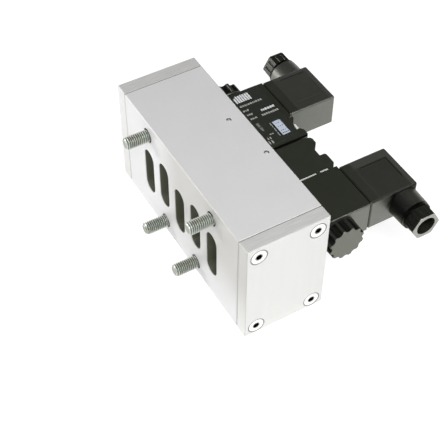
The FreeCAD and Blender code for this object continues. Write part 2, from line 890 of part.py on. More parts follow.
def short_layer():
    """Plan of the short layer: one boss beside the long layer's end, then a notch and a ramp."""
    start = S.short_layer_start
    return [
        (pilot_foot, start, 0), (S.boss_top - 1, start, 0.5), (S.boss_top, start + 1.5, 1.5),
        (S.boss_top, 10.6, 1.6), (S.boss_top - 1.8, 13.1, 0.8), (S.notch_floor, 12.7, 0.3),
        (S.notch_floor + 0.9, 18.2, 2.0), (S.boss_top, 22.6, 0.6), (S.boss_top, S.pilot_end, 0),
        (pilot_foot, S.pilot_end, 0),
    ]


def armature_pit():
    """Half section of the flange recess, the armature's pit and the valve seat in it."""
    step = S.pilot_end - S.flange_thickness
    return [
        (S.pilot_end, 0), (S.pilot_end, S.flange_radius + 0.1), (step, S.flange_radius + 0.1),
        (step, S.armature_pit_radius), (S.seat_pit_y, S.armature_pit_radius),
        (S.seat_pit_y, 1.6), (S.seat_y, 1.2), (S.seat_y, 0),
    ]


def make_pilot_body(side_name, side):
    name = "pilot_body_" + side_name
    body = new_body(name)
    for outline, backwards in ((long_layer(), True), (short_layer(), False)):
        sketch = new_sketch(body, "XY_Plane")
        draw_rounded(sketch, outline)
        add_pad(body, sketch, S.pilot_half_width, backwards)
    sketch = new_sketch(body, "YZ_Plane", offset=S.pilot_axis_x)
    draw_polygon(sketch, armature_pit())
    add_groove(body, sketch)
    drill_pilot_body(body)
    place(body, side)
    keep(name, body)


def drill_pilot_body(body):
    screws = pilot_screw_positions()
    top = S.boss_top + 2
    drill(body, top, [(y, z, S.pilot_screw_hole_radius) for y, z in screws])
    heads = [(y, z, S.pilot_screw_head_radius + 0.15) for y, z in screws]
    drill(body, top, heads, top - S.pilot_screw_seat_x)
    button = [(S.override_y, -S.override_z, S.override_radius + S.override_clearance)]
    drill(body, top, button, top - S.override_bottom_x)
    supply = [(S.supply_y, S.supply_z, S.passage_radius)]
    drill(body, pilot_foot, supply, 9.0, backwards=True)
    output = [(S.output_y, 0, S.passage_radius)]
    reach = S.pilot_axis_x - S.armature_pit_radius - pilot_foot + 0.6
    drill(body, pilot_foot, output, reach, backwards=True)


def make_pilot_gasket(side_name, side):
    name = "pilot_gasket_" + side_name
    body = new_body(name)
    edge = S.pilot_half_width - 0.4
    for start, low, high in ((S.long_layer_start, -edge, 0), (S.short_layer_start, 0, edge)):
        sketch = new_sketch(body, "YZ_Plane", offset=half_depth)
        draw_rectangle(sketch, start + 0.4, low, S.pilot_end - 0.4, high)
        add_pad(body, sketch, S.pilot_gasket_thickness)
    holes = [(y, z, S.pilot_screw_hole_radius) for y, z in pilot_screw_positions()]
    holes.append((S.supply_y, S.supply_z, S.passage_radius))
    holes.append((S.output_y, 0, S.passage_radius))
    drill(body, pilot_foot, holes)
    place(body, side)
    keep(name, body)


def make_pilot_screws(side_name, side):
    seat = S.pilot_screw_seat_x
    tip = seat - S.pilot_screw_length
    head = seat + S.pilot_screw_head_height
    body = new_body("pilot_screw_" + side_name)
    sketch = new_sketch(body, "XZ_Plane")
    draw_polygon(sketch, [
        (tip, 0), (tip, S.pilot_screw_radius - 0.05), (seat, S.pilot_screw_radius - 0.05),
        (seat, S.pilot_screw_head_radius), (head, S.pilot_screw_head_radius), (head, 0),
    ])
    add_turned(body, sketch)
    sketch = new_sketch(body, "YZ_Plane", offset=head)
    draw_polygon(sketch, hexagon_points(2.5))
    add_pocket(body, sketch, 1.5)
    spots = [(0, y, z) for y, z in pilot_screw_positions()]
    keep_copies("pilot_screws_" + side_name, body, spots, side)


def make_override(side_name, side):
    """A slotted button that pushes the armature off its seat by hand."""
    name = "manual_override_" + side_name
    top = S.notch_floor + S.override_proud
    low = S.override_bottom_x + S.override_travel + 0.1
    body = new_body(name)
    sketch = new_sketch(body, "XZ_Plane", across=-S.override_z, offset=-S.override_y)
    draw_polygon(sketch, [
        (low, 0), (low, S.override_radius), (top - 0.3, S.override_radius),
        (top, S.override_radius - 0.3), (top, 0),
    ])
    add_turned(body, sketch)
    sketch = new_sketch(body, "YZ_Plane", along=S.override_y, across=-S.override_z, offset=top)
    draw_rectangle(sketch, -S.override_radius - 1, -0.35, S.override_radius + 1, 0.35)
    add_pocket(body, sketch, 0.9)
    place(body, side)
    keep(name, body)


# Armature parts, about an axis that runs along Y through the coil

def make_armature_tube(side_name, side):
    name = "armature_tube_" + side_name
    start = S.pilot_end - S.flange_thickness
    body = turned_piece(name, [
        (start, S.tube_bore_radius), (start, S.flange_radius), (S.pilot_end, S.flange_radius),
        (S.pilot_end, S.tube_radius), (S.core_end, S.tube_radius),
        (S.core_end, S.tube_bore_radius),
    ], S.pilot_axis_x)
    place(body, side)
    keep(name, body)


def make_armature_core(side_name, side):
    """The fixed stop in the tube's end, with the stud for the coil nut."""
    name = "armature_core_" + side_name
    body = turned_piece(name, [
        (S.core_start, 0), (S.core_start, S.tube_bore_radius - 0.02),
        (S.core_end, S.tube_bore_radius - 0.02), (S.core_end, S.stud_radius),
        (S.stud_end - SMALL_CHAMFER, S.stud_radius), (S.stud_end, S.stud_radius - SMALL_CHAMFER),
        (S.stud_end, 0),
    ], S.pilot_axis_x)
    place(body, side)
    keep(name, body)


def make_plunger(side_name, side):
    """The armature, closed on its seat, with a pocket for its spring."""
    name = "plunger_" + side_name
    start = S.seat_y + 0.02
    end = S.core_start - S.plunger_travel - 0.02
    radius = S.tube_bore_radius - S.plunger_clearance
    pocket = end - S.spring_pocket_depth
    body = turned_piece(name, [
        (start, 0), (start, radius - 1.4), (start + 3, radius - 1.4), (start + 4, radius),
        (end, radius), (end, S.spring_pocket_radius), (pocket, S.spring_pocket_radius),
        (pocket, 0),
    ], S.pilot_axis_x)
    place(body, side)
    keep(name, body)


def make_plunger_spring(side_name, side):
    """A coil spring between the pocket's floor and the core."""
    name = "plunger_spring_" + side_name
    wire = amount(S.spring_wire_radius)
    radius = amount(S.spring_radius)
    floor = amount(S.core_start - S.plunger_travel - S.spring_pocket_depth)
    length = amount(S.core_start) - floor - 2 * wire - 0.1
    path = Part.makeHelix(length / SPRING_TURNS, length, radius)
    ring = Part.Circle(Vector(radius, 0, 0), Vector(0, 1, 0), wire)
    section = Part.Wire(ring.toShape())
    solid = Part.Wire(path.Edges).makePipeShell([section], True, True)
    solid.rotate(Vector(0, 0, 0), Vector(1, 0, 0), -90)
    solid.translate(Vector(amount(S.pilot_axis_x), floor + wire, 0))
    spring = doc.addObject("Part::Feature", name)
    spring.Label = name
    spring.Shape = Part.makeCompound([solid])
    place(spring, side)
    keep(name, spring)


def make_bracket(side_name, side):
    """The steel plate that clamps the armature tube, with one notched edge."""
    name = "bracket_plate_" + side_name
    body = new_body(name)
    sketch = new_sketch(body, "XZ_Plane", offset=-bracket_end)
    foot = half_depth + S.coil_foot_gap
    edge = S.pilot_half_width - 0.25
    draw_polygon(sketch, [
        (foot, -edge), (52.0, -edge), (52.0, 1.5 - edge), (55.0, 1.5 - edge), (55.0, -edge),
        (S.bracket_reach, -edge), (S.bracket_reach, edge), (foot, edge),
    ])
    draw_circle(sketch, S.pilot_axis_x, 0, S.coil_bore_radius)
    add_pad(body, sketch, S.bracket_thickness)
    place(body, side)
    keep(name, body)


# Coil

def make_coil(side_name, side):
    name = "coil_" + side_name
    foot = half_depth + S.coil_foot_gap
    body = new_body(name)
    sketch = new_sketch(body, "XY_Plane", offset=-S.pilot_half_width)
    draw_rectangle(sketch, foot, bracket_end, S.coil_reach, S.coil_end)
    add_pad(body, sketch, S.pilot_half_width * 2)
    end = amount(S.coil_end)
    reach = amount(S.coil_reach)
    start = amount(bracket_end)
    rounded = edge_names(body.Tip, lambda edge: (
        abs(edge.CenterOfMass.y - start) > 0.01 and abs(edge.CenterOfMass.x - reach) > 0.01
        or abs(edge.CenterOfMass.y - end) < 0.01))
    dress(body, "Fillet", rounded, S.coil_rounding)
    bore = [(S.pilot_axis_x, 0, S.coil_bore_radius)]
    drill(body, -S.coil_end, bore, role="XZ_Plane", backwards=True)
    screw = [(plug_middle, 0, S.plug_screw_radius + 0.05)]
    drill(body, S.coil_reach, screw, S.coil_reach - S.plug_screw_tip_x + 1)
    place(body, side)
    keep(name, body)


def terminal_rectangles(spare=0):
    """Plan of the coil's three flat terminals: two for the current and one for earth."""
    thick = S.terminal_thickness / 2 + spare
    wide = S.terminal_width / 2 + spare
    rectangles = [
        (plug_middle + shift - thick, -wide, plug_middle + shift + thick, wide)
        for shift in (-S.terminal_spacing / 2, S.terminal_spacing / 2)
    ]
    earth = plug_middle - S.terminal_spacing
    rectangles.append((earth - thick, -wide * 0.7, earth + thick, wide * 0.7))
    return rectangles


def make_coil_terminals(side_name, side):
    blades = []
    for number, corners in enumerate(terminal_rectangles()):
        body = new_body(f"terminal_{side_name}_{number}")
        sketch = new_sketch(body, "YZ_Plane", offset=S.coil_reach)
        draw_rectangle(sketch, *corners)
        add_pad(body, sketch, S.terminal_reach - S.coil_reach)
        blades.append(body.Shape.copy())
    group = doc.addObject("Part::Feature", "coil_terminals_" + side_name)
    group.Label = "coil_terminals_" + side_name
    group.Shape = Part.makeCompound(blades)
    place(group, side)
    keep("coil_terminals_" + side_name, group)


def make_coil_nut(side_name, side):
    """A fluted plastic nut, closed at its outer end."""
    name = "coil_nut_" + side_name
    start = S.coil_end + 0.1
    bottom = S.stud_end + 0.5
    body = new_body(name)
    turned = [
        (start, S.stud_radius + 0.05), (start, S.coil_nut_radius - 0.4),
        (start + 0.4, S.coil_nut_radius), (S.coil_nut_end - 0.4, S.coil_nut_radius),
        (S.coil_nut_end, S.coil_nut_radius - 0.4), (S.coil_nut_end, 0), (bottom, 0),
        (bottom, S.stud_radius + 0.05),
    ]
    sketch = new_sketch(body, "YZ_Plane")
    draw_polygon(sketch, turned)
    add_turned(body, sketch)
    recess = new_sketch(body, "YZ_Plane")
    draw_rectangle(recess, start, 0, S.core_end + 0.2, S.tube_radius + 0.2)
    add_groove(body, recess)
    sketch = new_sketch(body, "XZ_Plane", offset=-S.coil_nut_end)
    draw_circle(sketch, 0, S.coil_nut_flute_reach, S.coil_nut_flute_radius)
    flute = add_pocket(body, sketch, S.coil_nut_end - start - 1.5, backwards=True)
    add_polar(body, flute, "Y_Axis", NUT_FLUTES)
    place(body, side)
    body.Placement.Base.x = amount(S.pilot_axis_x)
    body.setExpression("Placement.Base.x", S.pilot_axis_x.text)
    keep(name, body)


# Plug

def plug_frame(sketch, inset, recess=None):
    """The plug's outline moved in: by the inset on its broad sides, by the recess at its ends."""
    edge = S.pilot_half_width - inset
    recess = inset if recess is None else recess
    draw_rectangle(sketch, S.plug_start + recess, -edge, S.plug_end - recess, edge)


def make_plug_gasket(side_name, side):
    """A flat frame between coil and plug, open where the terminals pass."""
    name = "plug_gasket_" + side_name
    body = new_body(name)
    sketch = new_sketch(body, "YZ_Plane", offset=S.coil_reach)
    plug_frame(sketch, S.plug_gasket_inset, S.plug_gasket_recess)
    add_pad(body, sketch, S.plug_gasket_thickness)
    sketch = new_sketch(body, "YZ_Plane", offset=plug_base)
    plug_frame(sketch, S.plug_wall + 0.4)
    add_pocket(body, sketch)
    place(body, side)
    keep(name, body)


def make_plug_housing(side_name, side):
    """A moulded cover with a cable neck that points away from the pilot body."""
    name = "plug_housing_" + side_name
    body = new_body(name)
    sketch = new_sketch(body, "YZ_Plane", offset=plug_base)
    plug_frame(sketch, 0)
    add_pad(body, sketch, S.plug_reach - plug_base)
    base = amount(plug_base)
    rounded = edge_names(body.Tip, lambda edge: abs(edge.CenterOfMass.x - base) > 0.01)
    dress(body, "Fillet", rounded, S.plug_rounding)
    add_plug_neck(body)
    sketch = new_sketch(body, "YZ_Plane", offset=plug_base)
    plug_frame(sketch, S.plug_wall)
    add_pocket(body, sketch, S.plug_cavity_depth, backwards=True)
    cut_plug_holes(body)
    cut_plug_lines(body)
    place(body, side)
    keep(name, body)


def add_plug_neck(body):
    sketch = new_sketch(body, "YZ_Plane", offset=S.gland_x)
    draw_polygon(sketch, [
        (S.plug_end - S.plug_wall, 0), (S.plug_end - S.plug_wall, S.neck_radius),
        (S.plug_end, S.neck_radius), (S.neck_end, S.neck_end_radius), (S.neck_end, 0),
    ])
    add_turned(body, sketch)


def cut_plug_holes(body):
    """The gland's bore, and the hole and head seat of the central screw."""
    sketch = new_sketch(body, "YZ_Plane", offset=S.gland_x)
    draw_polygon(sketch, [
        (S.neck_end, 0), (S.neck_end, S.gland_thread_radius),
        (S.gland_seal_start, S.gland_thread_radius), (S.gland_seal_start, 4.6),
        (S.plug_end - S.plug_wall - 4.0, 4.6), (S.plug_end - S.plug_wall - 4.0, 0),
    ])
    add_groove(body, sketch)
    drill(body, S.plug_reach, [(plug_middle, 0, S.plug_screw_radius + 0.2)])
    head = [(plug_middle, 0, S.plug_screw_head_radius + 0.2)]
    drill(body, S.plug_reach, head, S.plug_reach - S.plug_screw_seat_x)


def cut_plug_lines(body):
    """Fine moulding lines along two edges of both broad faces."""
    width = S.plug_line_width
    left = plug_base + S.plug_line_base
    right = S.plug_reach - S.plug_line_top
    low = S.plug_start + S.plug_line_side
    high = S.plug_end - S.plug_line_end
    outline = [
        (left, low), (right, low), (right, high), (right - width, high),
        (right - width, low + width), (left, low + width),
    ]
    for offset, backwards in ((S.pilot_half_width, False), (-S.pilot_half_width, True)):
        sketch = new_sketch(body, "XY_Plane", offset=offset)
        draw_polygon(sketch, outline)
        add_pocket(body, sketch, S.plug_line_depth, backwards)


def make_plug_insert(side_name, side):
    """The contact carrier, with slots for the terminals."""
    name = "plug_insert_" + side_name
    body = new_body(name)
    sketch = new_sketch(body, "YZ_Plane", offset=plug_base)
    plug_frame(sketch, S.plug_wall + 0.15)
    add_pad(body, sketch, S.insert_depth)
    for corners in terminal_rectangles(0.15):
        sketch = new_sketch(body, "YZ_Plane", offset=plug_base)
        draw_rectangle(sketch, *corners)
        add_pocket(body, sketch, S.terminal_reach - plug_base + 1, backwards=True)
    drill(body, plug_base + S.insert_depth, [(plug_middle, 0, S.plug_screw_radius + 0.2)])
    place(body, side)
    keep(name, body)


def make_plug_screw(side_name, side):
    name = "plug_screw_" + side_name
    seat = S.plug_screw_seat_x
    head = seat + S.plug_screw_head_height
    body = new_body(name)
    sketch = new_sketch(body, "XY_Plane", across=plug_middle)
    draw_polygon(sketch, [
        (S.plug_screw_tip_x, 0), (S.plug_screw_tip_x, S.plug_screw_radius),
        (seat, S.plug_screw_radius), (seat, S.plug_screw_head_radius),
        (head - 0.4, S.plug_screw_head_radius), (head, S.plug_screw_head_radius - 0.4), (head, 0),
    ])
    add_turned(body, sketch)
    sketch = new_sketch(body, "YZ_Plane", along=plug_middle, offset=head)
    draw_rectangle(sketch, -0.4, -4, 0.4, 4)
    add_pocket(body, sketch, 1.2)
    place(body, side)
    keep(name, body)


def make_gland_seal(side_name, side):
    name = "gland_seal_" + side_name
    start = S.gland_seal_start
    end = start + S.gland_seal_length
    outer = S.gland_thread_radius - 0.05
    body = turned_piece(name, [
        (start, S.gland_seal_hole_radius), (end, S.gland_seal_hole_radius), (end, outer),
        (start, outer),
    ], S.gland_x)
    place(body, side)
    keep(name, body)


def make_gland_nut(side_name, side):
    """The hexagonal gland nut, ribbed on its flats, with its thread inside the neck."""
    name = "gland_nut_" + side_name
    thread_start = S.gland_seal_start + S.gland_seal_length + 0.1
    outer = S.gland_thread_radius - 0.05
    collar = S.neck_end + S.gland_collar_length
    hole = S.gland_hole_radius
    body = new_body(name)
    sketch = new_sketch(body, "XZ_Plane", offset=-S.gland_end)
    draw_polygon(sketch, hexagon_points(S.gland_hexagon))
    add_pad(body, sketch, S.gland_end - S.neck_end)
    corner = S.gland_hexagon / math.sqrt(3)
    sketch = new_sketch(body, "YZ_Plane")
    draw_polygon(sketch, [
        (S.gland_end, corner - 0.4), (S.gland_end, corner + 1), (S.gland_end - 0.9, corner + 1),
        (S.gland_end - 0.9, corner + 0.1),
    ])
    add_groove(body, sketch)
    sketch = new_sketch(body, "YZ_Plane")
    draw_polygon(sketch, [
        (thread_start, hole), (thread_start, outer), (S.neck_end + 0.02, outer),
        (S.neck_end + 0.02, S.gland_collar_radius), (collar, S.gland_collar_radius),
        (collar, hole),
    ])
    add_turned(body, sketch)
    sketch = new_sketch(body, "XZ_Plane", offset=-S.gland_end)
    draw_circle(sketch, 0, 0, hole)
    add_pocket(body, sketch, backwards=True)
    cut_gland_ribs(body, collar)
    place(body, side)
    body.Placement.Base.x = amount(S.gland_x)
    body.setExpression("Placement.Base.x", S.gland_x.text)
    keep(name, body)


def cut_gland_ribs(body, collar):
    """Two grooves along each flat leave the ribs."""
    radius = S.gland_rib_radius
    flat = S.gland_hexagon / 2 + radius / 3
    for shift in (-2.0, 2.0):
        sketch = new_sketch(body, "XZ_Plane", offset=-collar)
        draw_circle(sketch, shift, flat, radius)
        groove = add_pocket(body, sketch, S.gland_end - collar - 1.6)
        add_polar(body, groove, "Y_Axis", 6)


# Assembly

PAIRED = [
    make_end_plate, make_end_gasket, make_end_screws, make_stack_retainer, make_piston,
    make_piston_seal, make_pilot_body, make_pilot_gasket, make_pilot_screws, make_override,
    make_armature_tube, make_armature_core, make_plunger, make_plunger_spring, make_bracket,
    make_coil, make_coil_terminals, make_coil_nut, make_plug_gasket, make_plug_housing,
    make_plug_insert, make_plug_screw, make_gland_seal, make_gland_nut,
]


def make_all():
    make_valve_body()
    make_mounting_bolts()
    make_channel_plugs()
    for number, (along, _) in enumerate(port_positions(), start=1):
        make_spacer_cage(number, along)
    make_spool_seals()
    make_spool()
    make_piston_screws()
    for make in PAIRED:
        for side_name, side in SIDES.items():
            make(side_name, side)


def check_document():
    """Stop if any object failed or any kept piece isn't a sound solid."""
    doc.recompute()
    for item in doc.Objects:
        if "Invalid" in item.State or "Error" in item.State:
            raise RuntimeError(f"{item.Label} is {item.State}")
    for name, item in nodes.items():
        shape = item.Shape
        if shape.isNull() or not shape.isValid() or not shape.Solids:
            raise RuntimeError(f"{name} is not a sound solid")


def export_parts():
    os.makedirs("parts", exist_ok=True)
    for name, item in nodes.items():
        item.Shape.exportStep(f"parts/{name}.step")


make_all()
check_document()
export_parts()
print(f"{len(nodes)} parts written")
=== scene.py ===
"""Pneumatic solenoid valve on a plain pale floor, lit like a small studio."""

import math

import bmesh
import bpy
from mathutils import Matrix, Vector


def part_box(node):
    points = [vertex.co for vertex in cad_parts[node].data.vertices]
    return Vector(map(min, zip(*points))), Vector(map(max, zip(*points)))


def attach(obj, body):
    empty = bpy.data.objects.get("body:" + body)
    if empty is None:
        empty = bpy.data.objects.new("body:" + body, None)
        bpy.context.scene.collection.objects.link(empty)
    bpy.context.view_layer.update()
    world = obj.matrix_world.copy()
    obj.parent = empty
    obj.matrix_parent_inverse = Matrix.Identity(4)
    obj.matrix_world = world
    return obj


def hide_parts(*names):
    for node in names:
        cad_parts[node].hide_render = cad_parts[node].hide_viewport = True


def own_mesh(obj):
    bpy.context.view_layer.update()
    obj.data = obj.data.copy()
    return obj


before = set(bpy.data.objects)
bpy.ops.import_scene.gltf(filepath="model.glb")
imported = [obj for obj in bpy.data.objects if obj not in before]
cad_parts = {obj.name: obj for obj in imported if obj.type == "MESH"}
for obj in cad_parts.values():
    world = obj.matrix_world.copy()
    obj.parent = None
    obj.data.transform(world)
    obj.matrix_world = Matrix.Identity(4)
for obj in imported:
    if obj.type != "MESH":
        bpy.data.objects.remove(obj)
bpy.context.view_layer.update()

MM = 0.001
X, Y, Z = 0, 1, 2
SIDES = ("near", "far")
BODY = "valve"
# height of the spool's axis, about which the near pilot valve is the far one turned over
AXIS_HEIGHT = 36.0 * MM


# Camera

CAMERA_PLACE = (-0.217534, -0.377881, 0.504844)
CAMERA_TURN = (41.4895, -0.0750, -29.9693)
CAMERA_LENS = 88.906
CAMERA_SENSOR = 36.0
CAMERA_CLIP = (0.01, 50.0)


def make_camera():
    camera = bpy.data.cameras.new("camera")
    camera.lens = CAMERA_LENS
    camera.sensor_width = CAMERA_SENSOR
    camera.clip_start, camera.clip_end = CAMERA_CLIP
    item = bpy.data.objects.new("camera", camera)
    item.location = CAMERA_PLACE
    item.rotation_euler = [math.radians(angle) for angle in CAMERA_TURN]
    bpy.context.scene.collection.objects.link(item)
    bpy.context.scene.camera = item


# Materials

# the part of a noise's range over which patches and gloss change
PATCH_RANGE = (0.25, 0.75)
GLOSS_RANGE = (0.3, 0.7)


class Recipe:
    """A material whose nodes read the piece's own coordinates, in metres."""

    def __init__(self, name, colour, roughness, metallic=0.0, **sockets):
        self.material = bpy.data.materials.new(name)
        self.material.use_nodes = True
        self.nodes = self.material.node_tree.nodes
        self.links = self.material.node_tree.links
        self.shader = self.nodes["Principled BSDF"]
        self.place = self.nodes.new("ShaderNodeTexCoord").outputs["Object"]
        self.colour = colour
        self.roughness = roughness
        self.normal = None
        self.shader.inputs["Metallic"].default_value = metallic
        for socket, value in sockets.items():
            self.shader.inputs[socket.replace("_", " ")].default_value = value

    def feed(self, socket, value):
        """Links a socket to another one, or gives it a value."""
        if isinstance(value, bpy.types.NodeSocket):
            self.links.new(value, socket)
        else:
            socket.default_value = value

    def feed_colour(self, socket, colour):
        if not isinstance(colour, bpy.types.NodeSocket):
            colour = (*colour, 1.0)
        self.feed(socket, colour)

    def math(self, operation, first, second=0.0, clamp=False):
        node = self.nodes.new("ShaderNodeMath")
        node.operation = operation
        node.use_clamp = clamp
        self.feed(node.inputs[0], first)
        self.feed(node.inputs[1], second)
        return node.outputs[0]

    def product(self, first, *others):
        for other in others:
            first = self.math("MULTIPLY", first, other)
        return first

    def largest(self, first, *others):
        for other in others:
            first = self.math("MAXIMUM", first, other)
        return first

    def without(self, mask, removed):
        """The mask less another one, never below 0."""
        return self.math("SUBTRACT", mask, removed, clamp=True)

    def outside(self, mask):
        return self.math("SUBTRACT", 1.0, mask)

    def vector_math(self, operation, first, second=(0.0, 0.0, 0.0)):
        node = self.nodes.new("ShaderNodeVectorMath")
        node.operation = operation
        self.feed(node.inputs[0], first)
        self.feed(node.inputs[1], second)
        return node.outputs[0]

    def step(self, value, low, high, start=0.0, end=1.0):
        """Goes smoothly from start, where value is low, to end, where it is high."""
        node = self.nodes.new("ShaderNodeMapRange")
        node.interpolation_type = "SMOOTHSTEP"
        for socket, number in zip(node.inputs[:5], (value, low, high, start, end)):
            self.feed(socket, number)
        return node.outputs[0]

    def fade(self, value, low, high, start=1.0):
        """Goes smoothly from start, where value is low, to 0, where it is high."""
        return self.step(value, low, high, start, 0.0)

    def band(self, value, low, high, soft):
        """1 where the value lies between low and high, with soft edges outside them."""
        return self.product(self.step(value, low - soft, low), self.fade(value, high, high + soft))

    def noise(self, size, stretch=None, detail=2.0):
        """Noise with grains of this size, drawn out along each axis by stretch."""
        place = self.place
        if stretch:
            place = self.vector_math("DIVIDE", place, stretch)
        node = self.nodes.new("ShaderNodeTexNoise")
        self.feed(node.inputs["Vector"], place)
        node.inputs["Scale"].default_value = 1.0 / size
        node.inputs["Detail"].default_value = detail
        return node.outputs[0]

    def mottle(self, size, amount, stretch=None, detail=2.0):
        """Lightens and darkens the colour in patches."""
        noise = self.noise(size, stretch, detail)
        factor = self.step(noise, *PATCH_RANGE, 1 - amount, 1 + amount)
        node = self.nodes.new("ShaderNodeVectorMath")
        node.operation = "SCALE"
        self.feed(node.inputs[0], self.colour)
        self.feed(node.inputs["Scale"], factor)
        self.colour = node.outputs[0]

    def tint(self, mask, colour):
        """Takes the colour towards another one where the mask is 1."""
        node = self.nodes.new("ShaderNodeMix")
        node.data_type = "RGBA"
        self.feed(node.inputs[0], mask)
        self.feed_colour(node.inputs[6], self.colour)
        self.feed_colour(node.inputs[7], colour)
        self.colour = node.outputs[2]

    def uneven_gloss(self, size, amount):
        low = self.roughness - amount
        high = self.roughness + amount
        self.roughness = self.step(self.noise(size), *GLOSS_RANGE, low, high)

    def grain(self, size, depth, stretch=None, detail=2.0):
        """Fine relief of this depth."""
        node = self.nodes.new("ShaderNodeBump")
        node.inputs["Distance"].default_value = depth
        self.feed(node.inputs["Height"], self.noise(size, stretch, detail))
        self.normal = node.outputs[0]

    def coordinate(self, axis):
        split = self.nodes.new("ShaderNodeSeparateXYZ")
        self.feed(split.inputs[0], self.place)
        return split.outputs[axis]

    def faces_of_box(self, node_name, reach):
        """Masks of 1 on the three pairs of faces of the node's box, 0 beyond reach inside."""
        low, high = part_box(node_name)
        from_low = self.vector_math("SUBTRACT", self.place, tuple(low))
        from_high = self.vector_math("SUBTRACT", tuple(high), self.place)
        nearest = self.vector_math("MINIMUM", from_low, from_high)
        split = self.nodes.new("ShaderNodeSeparateXYZ")
        self.feed(split.inputs[0], nearest)
        return [self.fade(split.outputs[axis], 0.0, reach) for axis in (X, Y, Z)]

    def depth_inside(self, axis, face, middle=0.0):
        """How far a point lies inside the pair of faces that stand equally far from the middle."""
        from_middle = self.math("SUBTRACT", self.coordinate(axis), middle)
        return self.math("SUBTRACT", abs(face - middle), self.math("ABSOLUTE", from_middle))

    def below(self, axis, face, depth):
        """Mask of 1 further than depth inside a pair of faces about the frame's middle."""
        return self.step(self.depth_inside(axis, face), depth / 2, depth)

    def distance_from_line(self, x, z):
        """Distance from the line along Y through x and z."""
        across = self.math("POWER", self.math("SUBTRACT", self.coordinate(X), x), 2.0)
        up = self.math("POWER", self.math("SUBTRACT", self.coordinate(Z), z), 2.0)
        return self.math("SQRT", self.math("ADD", across, up))

    def screw_distance(self, node_name, head_radius):
        """Distance from the axis of the nearest of four screws.

        They stand along Y, with their heads in the corners of the node's box.
        """
        low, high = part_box(node_name)
        middle = [(first + last) / 2 for first, last in zip(low, high)]
        spacing = [(last - first) / 2 - head_radius for first, last in zip(low, high)]
        place = self.vector_math("SUBTRACT", self.place, middle)
        place = self.vector_math("ABSOLUTE", place)
        place = self.vector_math("SUBTRACT", place, spacing)
        place = self.vector_math("MULTIPLY", place, (1.0, 0.0, 1.0))
        node = self.nodes.new("ShaderNodeVectorMath")
        node.operation = "LENGTH"
        self.feed(node.inputs[0], place)
        return node.outputs["Value"]

    def attribute(self, name):
        node = self.nodes.new("ShaderNodeAttribute")
        node.attribute_name = name
        return node.outputs["Fac"]

    def done(self):
        self.feed_colour(self.shader.inputs["Base Color"], self.colour)
        self.feed(self.shader.inputs["Roughness"], self.roughness)
        if self.normal:
            self.feed(self.shader.inputs["Normal"], self.normal)
        return self.material


def outer_face(node_name):
    """The y of a node's face that stands furthest from the valve's middle."""
    low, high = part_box(node_name)
    return high[Y] if high[Y] > -low[Y] else low[Y]


# Aluminium of the block and its end plates

# here and below, a pair of values says where a mask starts to change and where it has changed
BLOCK_COLOUR = (0.80, 0.795, 0.798)
PLATE_COLOUR = (0.775, 0.772, 0.755)
ANODISED_METALLIC = 0.2
# painted shade in the drillings, which lie off all faces of the node's box
DRILLING_SHADE_COLOUR = (0.138, 0.144, 0.104)
DRILLING_SHADE_RANGE = (0.0, 0.6)
FACE_REACH = 0.7 * MM
# painted shade along the edges, where the masks of two faces add up to more than 1
EDGE_SHADE_COLOUR = (0.52, 0.52, 0.51)
EDGE_SHADE_SHARE = 0.55
EDGE_SHADE_RANGE = (1.22, 1.42)
SAWN_COLOUR = (0.64, 0.635, 0.62)
SAWN_RANGE = (0.35, 0.65)
SAWN_SHARES = (0.55, 1.0)
# painted shade: a dark ring between each screw's head and its countersink
END_HEAD_RADIUS = 4.95 * MM
COUNTERSINK_SHADE_COLOUR = (0.26, 0.26, 0.235)
COUNTERSINK_SHADE_RANGE = (5.35 * MM, 5.5 * MM)
# painted shade in the joint of the far end plate, on top
FAR_JOINT_SHADE_COLOUR = (0.26, 0.26, 0.25)
FAR_JOINT_SHADE_SHARE = 0.6
FAR_JOINT_PLACE = (65.45 * MM, 66.65 * MM)
FAR_JOINT_SOFT = 0.25 * MM
FAR_JOINT_HEIGHT = (72.6 * MM, 73.4 * MM)
# painted shade on the mounting face, strongest on its upper near part
MOUNT_SHADE_COLOUR = (0.5, 0.492, 0.462)
MOUNT_SHADE_SHARE = 0.75
MOUNT_SHADE_ACROSS = (-25.8 * MM, -25.4 * MM)
MOUNT_SHADE_ALONG = (-2.0 * MM, 32.0 * MM)
MOUNT_SHADE_HEIGHT = (0.0, 48.0 * MM)


def far_joint_shade(recipe):
    in_joint = recipe.band(recipe.coordinate(Y), *FAR_JOINT_PLACE, FAR_JOINT_SOFT)
    on_top = recipe.step(recipe.coordinate(Z), *FAR_JOINT_HEIGHT, 0.0, FAR_JOINT_SHADE_SHARE)
    return recipe.product(in_joint, on_top)


def mount_shade(recipe):
    on_mount = recipe.fade(recipe.coordinate(X), *MOUNT_SHADE_ACROSS)
    along = recipe.fade(recipe.coordinate(Y), *MOUNT_SHADE_ALONG, MOUNT_SHADE_SHARE)
    upward = recipe.step(recipe.coordinate(Z), *MOUNT_SHADE_HEIGHT)
    return recipe.product(on_mount, along, upward)


